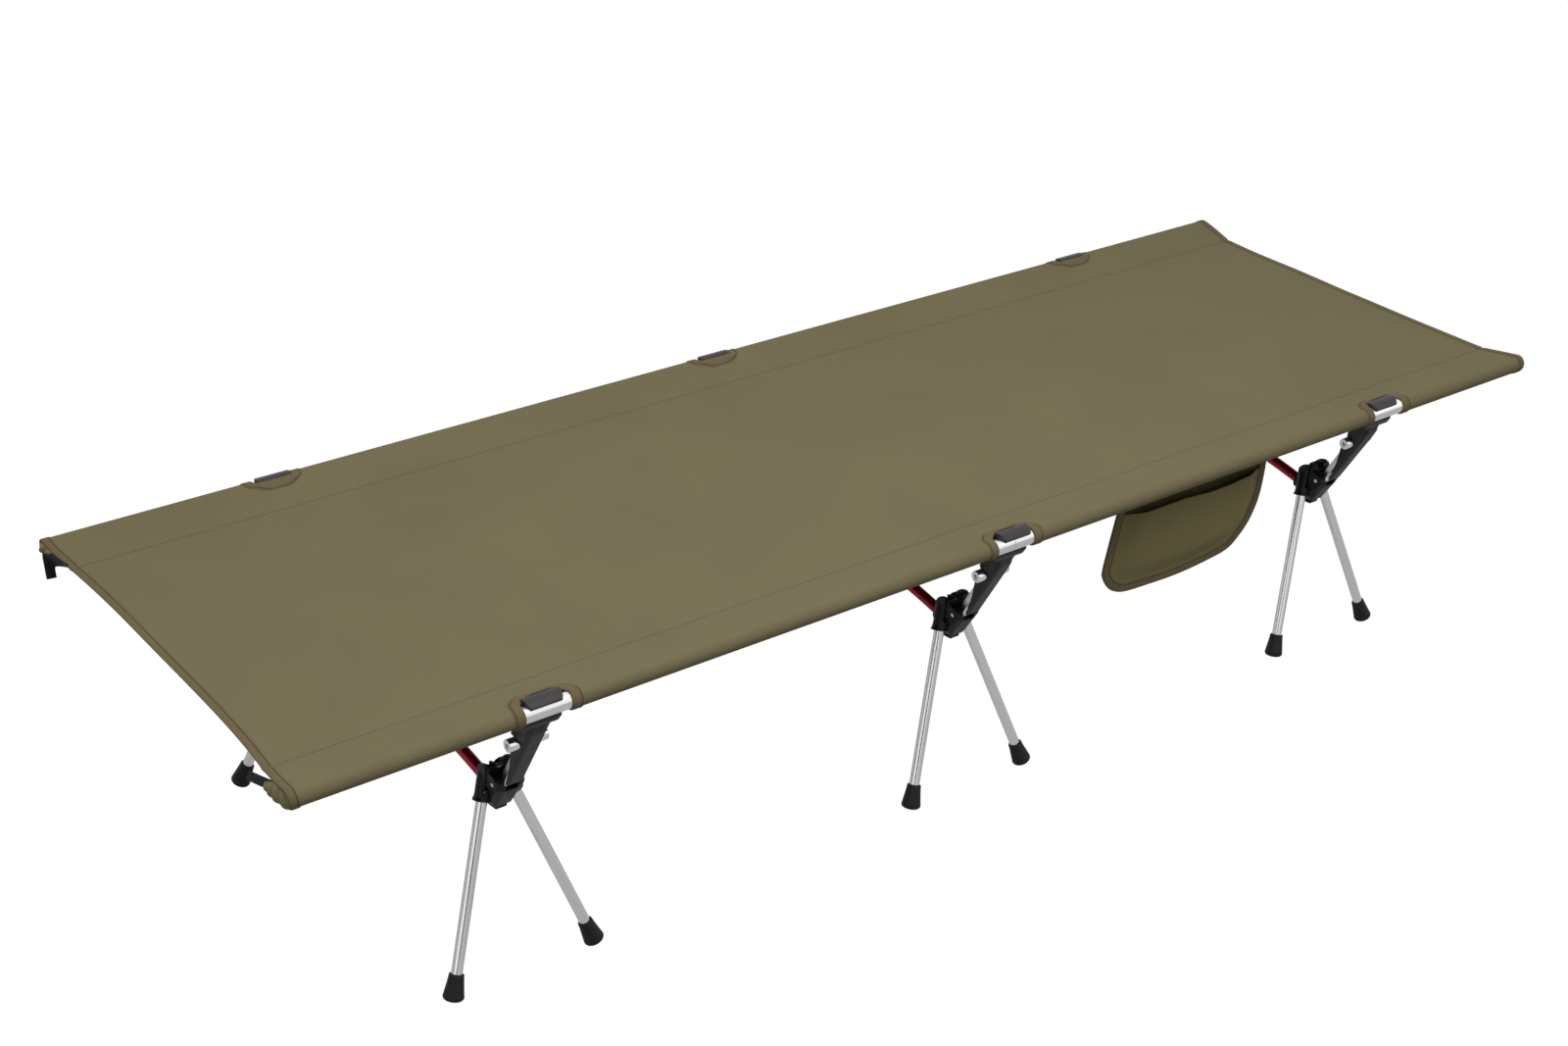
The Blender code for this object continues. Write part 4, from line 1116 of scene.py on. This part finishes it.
def foldedSection(width, lift=0.001, under=None):
    # Tape folded over an edge: (distance in from the edge, height off the cloth), closed.
    # It starts at the sewn edge on top; under is how far it reaches in below.
    wall = tape["wall"]
    outer = [(width, wall + 0.0004), (width - 0.0008, lift * 0.94), (width - 0.0022, lift * 0.90),
             (width - 0.0040, lift), (width * 0.35, lift), (0.0012, lift),
             (-0.0002, lift * 0.85), (-0.0008, lift * 0.45), (-0.0010, 0.0)]
    outer += [(min(d, under or width), -h) for d, h in reversed(outer[:-1])]
    inner = [(d + (wall if d < 0.001 else 0), h * (1 - wall / max(abs(h), lift)))
             for d, h in reversed(outer)]
    return outer + inner


def stripMesh(name, length, steps, section, shape, closed):
    # A closed cross-section carried along a line; shape(t, d, h) places its points.
    sides = len(section)
    work = gridSheet(steps, sides)
    walked = [0.0]
    for a, b in zip(section, section[1:] + section[:1]):
        walked.append(walked[-1] + math.dist(a, b))
    spots = {vert: (vert.co.x + 0.5, round((vert.co.y + 0.5) * sides)) for vert in work.verts}
    layMap(work, lambda vert: (spots[vert][0] * length, walked[spots[vert][1]]))
    for vert, (t, row) in spots.items():
        vert.co = shape(t, *section[row % sides])
    bmesh.ops.remove_doubles(work, verts=work.verts, dist=1e-6)
    if not closed:
        closeHoles(work)
    return meshFrom(name, work)


def addTape(name, length, steps, section, shape, closed=False):
    strip = stripMesh(name, length, steps, section, shape, closed)
    return finishPiece(name, strip, "tape", "frame", angle=60)


def stitchLine(shape, steps, width, lift=0.001):
    # Places along a tape's sewn edge, each with a point well above it.
    d = width - tape["sewn"]
    return [(shape(i / steps, d, lift * tape["stitchLift"]), shape(i / steps, d, 0.01))
            for i in range(steps + 1)]


def openingShape(side, centre, line):
    # Places points of an opening's tape: t goes once round, d out from the edge, h off the cloth.
    count = len(line)
    ways = []
    for i in range(count):
        run = line[(i + 1) % count] - line[i - 1]
        ways.append(Vector((run.y, -run.x)).normalized())

    def shape(t, d, h):
        i = int(t * count + 1e-6)
        part = t * count - i
        point = line[i % count].lerp(line[(i + 1) % count], part)
        point = point + ways[i % count].lerp(ways[(i + 1) % count], part) * d
        return onCloth(centre + point.x, side * point.y, h)

    return shape


clothPieces = []
stitchRows = {"openings": [], "ends": []}
for label, side, centre, line in openings:
    shape = openingShape(side, centre, line)
    section = foldedSection(tape["openWidth"], lift=tape["openLift"])
    clothPieces.append(addTape("opening_tape_" + label, tape["openLength"], len(line), section,
                               shape, closed=True))
    stitchRows["openings"].append(stitchLine(shape, len(line), tape["openWidth"],
                                             tape["openLift"]))


def endShape(endSign, low, high, lift):
    # Places points of the tape along one end, from s = low to s = high; d runs in from the end.
    def shape(t, d, h):
        s = low + (high - low) * t
        return onCloth(endSign * (clothEnd(s, endSign) - d), s, h * lift)

    return shape


for endName, endSign in bedEnds:
    strips = [("end_tape_" + endName, -cloth["seam"] + 0.001, cloth["seam"] - 0.001, 1.0, 120,
               tape["endWidth"])]
    for sideName, side in bedSides:
        strips.append(("mouth_tape_" + sideName + "_" + endName, side * (cloth["seam"] - 0.006),
                       side * (underS + 0.010), tape["mouthLift"], 90, tape["mouthUnder"]))
    for name, low, high, lift, steps, under in strips:
        shape = endShape(endSign, low, high, lift)
        section = foldedSection(tape["endWidth"], under=under)
        clothPieces.append(addTape(name, abs(high - low), steps, section, shape))
        stitchRows["ends"].append(stitchLine(shape, steps, tape["endWidth"]))


def stitchRow(work, path, length, gap, thick):
    # Thread showing as short bars along (point, point above it) pairs, each a small loaf.
    travelled = 0.0
    for (start, high), (end, _) in zip(path, path[1:]):
        step = (end - start).length
        while travelled < step:
            way = (end - start).normalized()
            middle = start + way * (travelled + length / 2)
            side = way.cross(high - start).normalized()
            turn = Matrix((way, side, way.cross(side))).transposed().to_4x4()
            bmesh.ops.create_icosphere(
                work, subdivisions=1, radius=1.0,
                matrix=Matrix.Translation(middle) @ turn @ Matrix.Diagonal(
                    (length / 2, thick * 1.6, thick, 1)))
            travelled += length + gap
        travelled -= step


def addStitches(name, rows, sizes):
    work = bmesh.new()
    work.loops.layers.uv.new("cut")
    for path in rows:
        stitchRow(work, path, sizes["length"], sizes["gap"], sizes["thick"])
    return finishPiece(name, meshFrom(name, work), "thread", "frame", angle=180)


def seamLine(s):
    near, far = (clothEnd(s, endSign) - seamStitch["short"] for endSign in (-1, 1))
    points = [onCloth(-near + (near + far) * i / seamStitch["count"], s, cloth["thickness"] / 2)
              for i in range(seamStitch["count"] + 1)]
    return [(point, point + Vector((0, 0, 0.01))) for point in points]


for sideName, side in bedSides:
    stitchRows["seam_" + sideName] = [seamLine(side * cloth["seam"])]
for name, rows in stitchRows.items():
    clothPieces.append(addStitches("stitches_" + name, rows,
                                   seamStitch if "seam" in name else stitch))
print("tapes and seams done")


# Inside each sleeve's mouth: folded lining cloth, the webbing that holds the pole in, and a plug.
mouth = {
    # The lining fills the mouth above these floors, (z at the pole, rise for each metre inboard).
    "inboard": {"front": 0.2530, "back": 0.2750}, "outboard": 0.3166, "room": 0.0101,
    "gape": {"front": 0.0105, "back": 0.0}, "gapeRun": 0.026,
    "floor": {"front": (0.3616, -0.10), "back": (0.3672, 0.38)}, "face": 0.9440,
    "swell": {"near": 0.0110, "far": 0.0030}, "fold": 0.0019, "foldPitch": 0.0150,
    # The lining keeps between these heights beside the pole, a little below the sleeve's top.
    "heights": (0.0004, 0.0204), "under": 0.0006, "thickness": 0.0006,
    "strapWidth": 0.0105, "strapWall": 0.0013, "strapLength": 0.07,
    # The webbing's two edges as (out along the bed, y, z), its inner edge first.
    "strapBack": [
        (0.9375, 0.2500, 0.3680, 0.9440, 0.2500, 0.3770),
        (0.9375, 0.2600, 0.3655, 0.9462, 0.2600, 0.3780),
        (0.9375, 0.2697, 0.3623, 0.9478, 0.2720, 0.3782),
        (0.9375, 0.2850, 0.3560, 0.9494, 0.2880, 0.3768),
        (0.9375, 0.2980, 0.3502, 0.9502, 0.3000, 0.3742),
        (0.9375, 0.3055, 0.3462, 0.9504, 0.3066, 0.3695),
        (0.9375, 0.3068, 0.3430, 0.9502, 0.3090, 0.3610),
        (0.9375, 0.3066, 0.3395, 0.9498, 0.3082, 0.3490),
        (0.9375, 0.3058, 0.3350, 0.9496, 0.3070, 0.3385),
        (0.9375, 0.3050, 0.3325, 0.9494, 0.3055, 0.3332)],
    # The far back strap starts lower, under the cloth's edge.
    "strapTucked": [
        (0.9375, 0.2500, 0.3620, 0.9440, 0.2500, 0.3710),
        (0.9375, 0.2600, 0.3612, 0.9462, 0.2600, 0.3737),
        (0.9375, 0.2697, 0.3597, 0.9478, 0.2720, 0.3758)],
    "strapFront": [
        (0.9350, 0.2850, 0.3640, 0.9400, 0.2850, 0.3550),
        (0.9350, 0.2740, 0.3610, 0.9400, 0.2740, 0.3520),
        (0.9350, 0.2630, 0.3572, 0.9400, 0.2603, 0.3479),
        (0.9350, 0.2500, 0.3528, 0.9400, 0.2480, 0.3432),
        (0.9350, 0.2395, 0.3494, 0.9400, 0.2385, 0.3397),
        (0.9350, 0.2250, 0.3446, 0.9400, 0.2245, 0.3350),
        (0.9350, 0.2100, 0.3396, 0.9400, 0.2098, 0.3300),
        (0.9350, 0.1950, 0.3348, 0.9400, 0.1948, 0.3253),
        (0.9352, 0.1800, 0.3302, 0.9398, 0.1798, 0.3208)],
}


def mouthLining(endName, endSign, sideName, side):
    work = gridSheet(56, 20)
    room, middle = mouth["room"], cot["poleZ"]
    inboard, outboard = mouth["inboard"][sideName], mouth["outboard"]
    floor, slope = mouth["floor"][sideName]
    least, most = mouth["heights"]
    for vert in work.verts:
        u, v = min(vert.co.x + 0.5, 0.999), vert.co.y * 2
        y = inboard + (outboard - inboard) * u
        if y < cot["poleY"]:
            above = min((y - cloth["seam"]) * math.tan(sleeveSlope) - mouth["under"], room)
            below = middle - floor - slope * (cot["poleY"] - y)
            below = max(least, min(most, above + below)) - above
            # The front sleeve gapes above the lining, where the strap comes out.
            above -= mouth["gape"][sideName] * max(0.0, 1 - (y - inboard) / mouth["gapeRun"])
        else:
            above = math.sqrt(max(room ** 2 - (y - cot["poleY"]) ** 2, 0))
            below = above * (middle - floor) / room
        z = middle + (above - below) / 2 + v * (above + below) / 2
        full = (1 - v * v) ** 0.4 * math.sin(math.pi * u) ** 0.3
        out = mouth["face"] + clothSlide(side * crestS, endSign)
        out += mouth["swell"][endName] * full * (0.5 + 0.5 * u) * (1 - 0.15 * v)
        fold = math.sin(2 * math.pi * y / mouth["foldPitch"] + 1.3 * v)
        out += mouth["fold"] * fold * (1 - abs(v) ** 3) * math.sin(math.pi * u) ** 0.5
        vert.co = (endSign * out, side * y, z)
    layMap(work, lambda vert: vert.co.yz)
    return meshFrom("mouthLining", work, outwards=False)


def strapMesh(endSign, side, path):
    # Flat webbing between its two edges.
    steps = 48
    line = smoothLine(path, steps)
    wide, wall = mouth["strapWidth"], mouth["strapWall"]
    top = [(0.0003, wall / 2), (wide / 2, wall / 2 + 0.0001), (wide - 0.0003, wall / 2)]
    section = [(0, 0)] + top + [(wide, 0)] + [(d, -h) for d, h in reversed(top)]

    def shape(t, d, h):
        i = min(int(t * steps), steps - 1)
        here = line[i].lerp(line[i + 1], t * steps - i)
        ahead = line[i + 1] - line[i]
        inner, outer = Vector(here[:3]), Vector(here[3:])
        run = Vector(ahead[:3]) + Vector(ahead[3:])
        point = inner.lerp(outer, d / wide) + run.cross(outer - inner).normalized() * h
        return Vector((endSign * point.x, side * point.y, point.z))

    return stripMesh("strap", mouth["strapLength"], steps, section, shape, False)


def smoothLine(points, count):
    # An evenly spaced smooth line through the points.
    dense = []
    last = len(points) - 1
    for i in range(last):
        p0, p1, p2, p3 = (Vector(points[max(0, min(k, last))]) for k in range(i - 1, i + 3))
        for k in range(12):
            t = k / 12
            dense.append(0.5 * (2 * p1 + (p2 - p0) * t + (2 * p0 - 5 * p1 + 4 * p2 - p3) * t ** 2
                                + (3 * p1 - p0 - 3 * p2 + p3) * t ** 3))
    dense.append(Vector(points[-1]))
    return evenLine(dense, count)


def plugMesh(endSign, side):
    # A turned plug with a domed head, set in the pole's end.
    r = cot["poleRadius"]
    end = endSign * (cot["halfLength"] - pole["inset"])
    return meshFrom("endPlug", turnedSolid(
        [(-0.012, 0), (-0.012, r - 0.0016), (0.0001, r - 0.0016), (0.0001, r - 0.0003),
         (0.0010, r - 0.0002), (0.0024, r - 0.0014), (0.0032, r - 0.0045), (0.0034, 0)],
        (end, side * cot["poleY"], cot["poleZ"]), (endSign, 0, 0), sides=36))


for endName, endSign in bedEnds:
    for sideName, side in bedSides:
        label = sideName + "_" + endName
        lining = finishPiece("mouth_lining_" + label, mouthLining(
            endName, endSign, sideName, side), "liningCloth", "frame", angle=80)
        thicken(lining, mouth["thickness"])
        path = mouth["strapBack"] if sideName == "back" else mouth["strapFront"]
        if label == "back_far":
            path = mouth["strapTucked"] + path[len(mouth["strapTucked"]):]
        strap = finishPiece("end_strap_" + label, strapMesh(endSign, side, path), "webbing",
                            "frame", angle=60)
        clothPieces += [lining, strap]
        finishPiece("end_plug_" + label, plugMesh(endSign, side), "footRubber", "frame")
print("sleeve mouths done")

pocket = {
    "plane": -0.2485, "bulge": 0.0125, "bulgeRun": 0.034, "crease": (12, 20, 2.2, 0.0016),
    "tape": 0.0120, "tapeLength": 0.62, "gap": 0.0012, "thickness": 0.0008,
    "top": 0.322, "low": 0.1925, "mouth": 0.3117, "backTop": 0.3712, "backTurn": 0.03,
    "mouthDrops": [(0, 0), (0.13, 0.0002), (0.28, -0.0006), (0.40, -0.0008), (0.47, 0.0008),
                   (0.56, 0.0026), (0.67, 0.0018), (0.85, -0.0012), (1, 0.0030)],
    "outline": [(0.236, 0.322), (0.227, 0.280), (0.2190, 0.239), (0.2205, 0.227), (0.231, 0.211),
                (0.244, 0.202), (0.262, 0.1965), (0.300, 0.194), (0.355, 0.1925), (0.410, 0.196),
                (0.450, 0.203), (0.472, 0.220), (0.487, 0.239), (0.498, 0.264), (0.503, 0.288),
                (0.506, 0.322)],
}
pocketLine = smoothLine(pocket["outline"], 120)


def pocketSpan(t):
    # The outline's left and right points at the same share of its length from each end.
    n = len(pocketLine) - 1
    low, part = int(t * n / 2), t * n / 2 % 1
    return (pocketLine[low].lerp(pocketLine[min(low + 1, n)], part),
            pocketLine[n - low].lerp(pocketLine[max(n - low - 1, 0)], part))


def pocketMouth(u):
    # The height of the front panel's mouth, which sags to a slight kink.
    for (u0, drop0), (u1, drop1) in zip(pocket["mouthDrops"], pocket["mouthDrops"][1:]):
        if u <= u1:
            break
    return pocket["mouth"] - drop0 - (drop1 - drop0) * softStep((u - u0) / (u1 - u0))


def pocketPoint(u, t, front):
    left, right = pocketSpan(t)
    x, z = left.lerp(right, u)
    top, low, turn = pocket["top"], pocket["low"], pocket["backTurn"]
    if not front:
        # The back panel runs on up behind the sleeve.
        z += (pocket["backTop"] - top) * max(0.0, 1 - t / turn)
        return Vector((x, pocket["plane"] + pocket["gap"], z))
    z = low + (z - low) * ((pocketMouth(u) - low) / (top - low))
    # The panel is flat under its tape and swells out from there, most towards the far side.
    inward = min((Vector((x, z)) - point).length for point in pocketLine)
    rise = softStep((inward - pocket["tape"] + 0.001) / pocket["bulgeRun"])
    along, up, seed, height = pocket["crease"]
    swell = pocket["bulge"] * (0.75 + 0.35 * u)
    swell += noise.noise(Vector((x * along, z * up, seed))) * height
    return Vector((x, pocket["plane"] - pocket["gap"] - rise * swell, z))


def finishPanel(name, front):
    work = gridSheet(56, 44)
    for vert in work.verts:
        vert.co = pocketPoint(vert.co.x + 0.5, min(1.0, (0.5 - vert.co.y)), front)
    bmesh.ops.remove_doubles(work, verts=work.verts, dist=1e-5)
    layMap(work, lambda vert: vert.co.xz)
    mesh = meshFrom(name, work, outwards=False)
    # The back panel's inner side gets a darker cloth, which is painted shade for the inside of the
    # pocket.
    mesh.materials.append(finishes["pocketCloth" if front else "pocketPaintedShade"])
    mesh.materials.append(finishes["pocketCloth"])
    panel = finishPiece(name, mesh, "pocketCloth", "frame",
                        ["storage_pocket"] if front else (), angle=80)
    thick = thicken(panel, pocket["thickness"])
    thick.material_offset = 1
    thick.material_offset_rim = 1
    return panel


pocketFront = finishPanel("pocket_front_panel", True)
pocketBack = finishPanel("pocket_back_panel", False)


def pocketShape(t, d, h):
    # Tape round the sides and the bottom; d runs in from the outline.
    n = len(pocketLine) - 1
    low = min(int(t * n), n - 1)
    point = pocketLine[low].lerp(pocketLine[low + 1], t * n - low)
    ahead = (pocketLine[min(low + 2, n)] - pocketLine[max(low - 1, 0)]).normalized()
    spot = point + Vector((-ahead.y, ahead.x)) * d
    return Vector((spot.x, pocket["plane"] - h * 2.2, spot.y))


pocketEdge = addTape("pocket_tape", pocket["tapeLength"], 150, foldedSection(pocket["tape"]),
                     pocketShape)
pocketStitches = addStitches("stitches_pocket", [stitchLine(pocketShape, 150, pocket["tape"])],
                             stitch)
print("pocket done")

# Ferrules sit inside the poles and need only a plain drawn finish.
for nodeName in ("pole_ferrule_front", "pole_ferrule_back"):
    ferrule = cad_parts[nodeName]
    ferrule.data.materials.clear()
    ferrule.data.materials.append(finishes["linkMetal"])

studio = {
    "world": 0.40, "floor": 0.22, "glow": 1.10, "seen": 0.92, "mirrored": 0.36,
    "floorHalf": 30, "floorDrop": 0.0005,
    # Upright boards that only shiny surfaces see: (x, y, facing, width, height, tone).
    "boards": {
        "darkBoard": (-2.6, -3.4, 52.6, 1.7, 1.9, 0.03),
        "greyBoard": (-3.2, 0.6, 0.0, 1.6, 1.9, 0.35),
        "lowBoard": (0.9, -3.5, 90.0, 3.6, 0.6, 0.55),
    },
    # Softboxes: (place, aim, size, power).
    "lamps": {
        "keySoftbox": ((-0.5, -1.0, 2.45), (-0.1, 0, 0.3), 1.6, 27.0),
        "fillSoftbox": ((2.6, -1.6, 1.9), (0.3, 0, 0.3), 1.6, 5.0),
    },
}


def stagePiece(name, mesh, height=0.0):
    # A piece of the studio, with an empty material: gives the piece, its nodes and its surface.
    made = bpy.data.materials.new(name)
    made.use_nodes = True
    made.node_tree.nodes.clear()
    mesh.materials.append(made)
    piece = bpy.data.objects.new(name, mesh)
    piece.location = (0, 0, height)
    collection.objects.link(piece)
    nodes = Nodes(made.node_tree)
    return piece, nodes, nodes.add("ShaderNodeOutputMaterial").inputs["Surface"]


def addGlow(nodes, tone, strength=1.0):
    glow = nodes.add("ShaderNodeEmission")
    nodes.put(((tone, tone, tone, 1), glow.inputs["Color"]), (strength, glow.inputs["Strength"]))
    return glow.outputs[0]


def addBoard(name, x, y, facing, width, height, tone):
    work = gridSheet(1, 1)
    turn = Matrix.Rotation(math.radians(facing), 4, "Z") @ Matrix.Rotation(math.pi / 2, 4, "Y")
    bmesh.ops.transform(
        work, verts=work.verts, matrix=Matrix.Translation((x, y, height / 2)) @ turn
        @ Matrix.Diagonal((height, width, 1, 1)))
    board, nodes, surface = stagePiece(name, meshFrom(name, work, outwards=False))
    for ray in ("camera", "diffuse", "transmission", "volume_scatter", "shadow"):
        setattr(board, "visible_" + ray, False)
    nodes.join(addGlow(nodes, tone), surface)


def addFloor():
    work = gridSheet(1, 1, studio["floorHalf"])
    _, nodes, surface = stagePiece("studioFloor", meshFrom("studioFloor", work),
                                   -studio["floorDrop"])
    paint = nodes.add("ShaderNodeBsdfDiffuse")
    paint.inputs["Color"].default_value = (*[studio["floor"]] * 3, 1)
    # Seen directly the floor is white with a faint shadow; metal shows it with its shadows.
    seen = nodes.add("ShaderNodeLightPath").outputs
    mirrored = nodes.math("MAXIMUM", seen["Is Glossy Ray"], seen["Is Transmission Ray"])
    share = nodes.math("MAXIMUM", nodes.math("MULTIPLY", seen["Is Camera Ray"], studio["seen"]),
                       nodes.math("MULTIPLY", mirrored, studio["mirrored"]))
    mixed = nodes.add("ShaderNodeMixShader")
    nodes.put((share, mixed.inputs[0]), (paint.outputs[0], mixed.inputs[1]),
              (addGlow(nodes, 1, studio["glow"]), mixed.inputs[2]), (mixed.outputs[0], surface))


def addLight():
    world = bpy.data.worlds.new("studioWorld")
    world.use_nodes = True
    bpy.context.scene.world = world
    nodes = Nodes(world.node_tree)
    back = world.node_tree.nodes["Background"]
    seen = nodes.add("ShaderNodeLightPath").outputs
    direct = nodes.math("MAXIMUM", seen["Is Camera Ray"], seen["Is Glossy Ray"])
    direct = nodes.math("MAXIMUM", direct, seen["Is Transmission Ray"])
    nodes.put(((1, 1, 1, 1), back.inputs["Color"]),
              (nodes.ramp(direct, studio["world"], 1.0), back.inputs["Strength"]))
    for name, (place, aim, size, power) in studio["lamps"].items():
        data = bpy.data.lights.new(name, "AREA")
        data.shape = "SQUARE"
        data.size = size
        data.energy = power
        lamp = bpy.data.objects.new(name, data)
        way = Vector(aim) - Vector(place)
        lamp.matrix_world = Matrix.Translation(place) @ way.to_track_quat(
            "-Z", "Y").to_matrix().to_4x4()
        collection.objects.link(lamp)


addFloor()
addLight()
for name, values in studio["boards"].items():
    addBoard(name, *values)
bpy.context.scene.view_settings.view_transform = "Standard"
print("studio done")
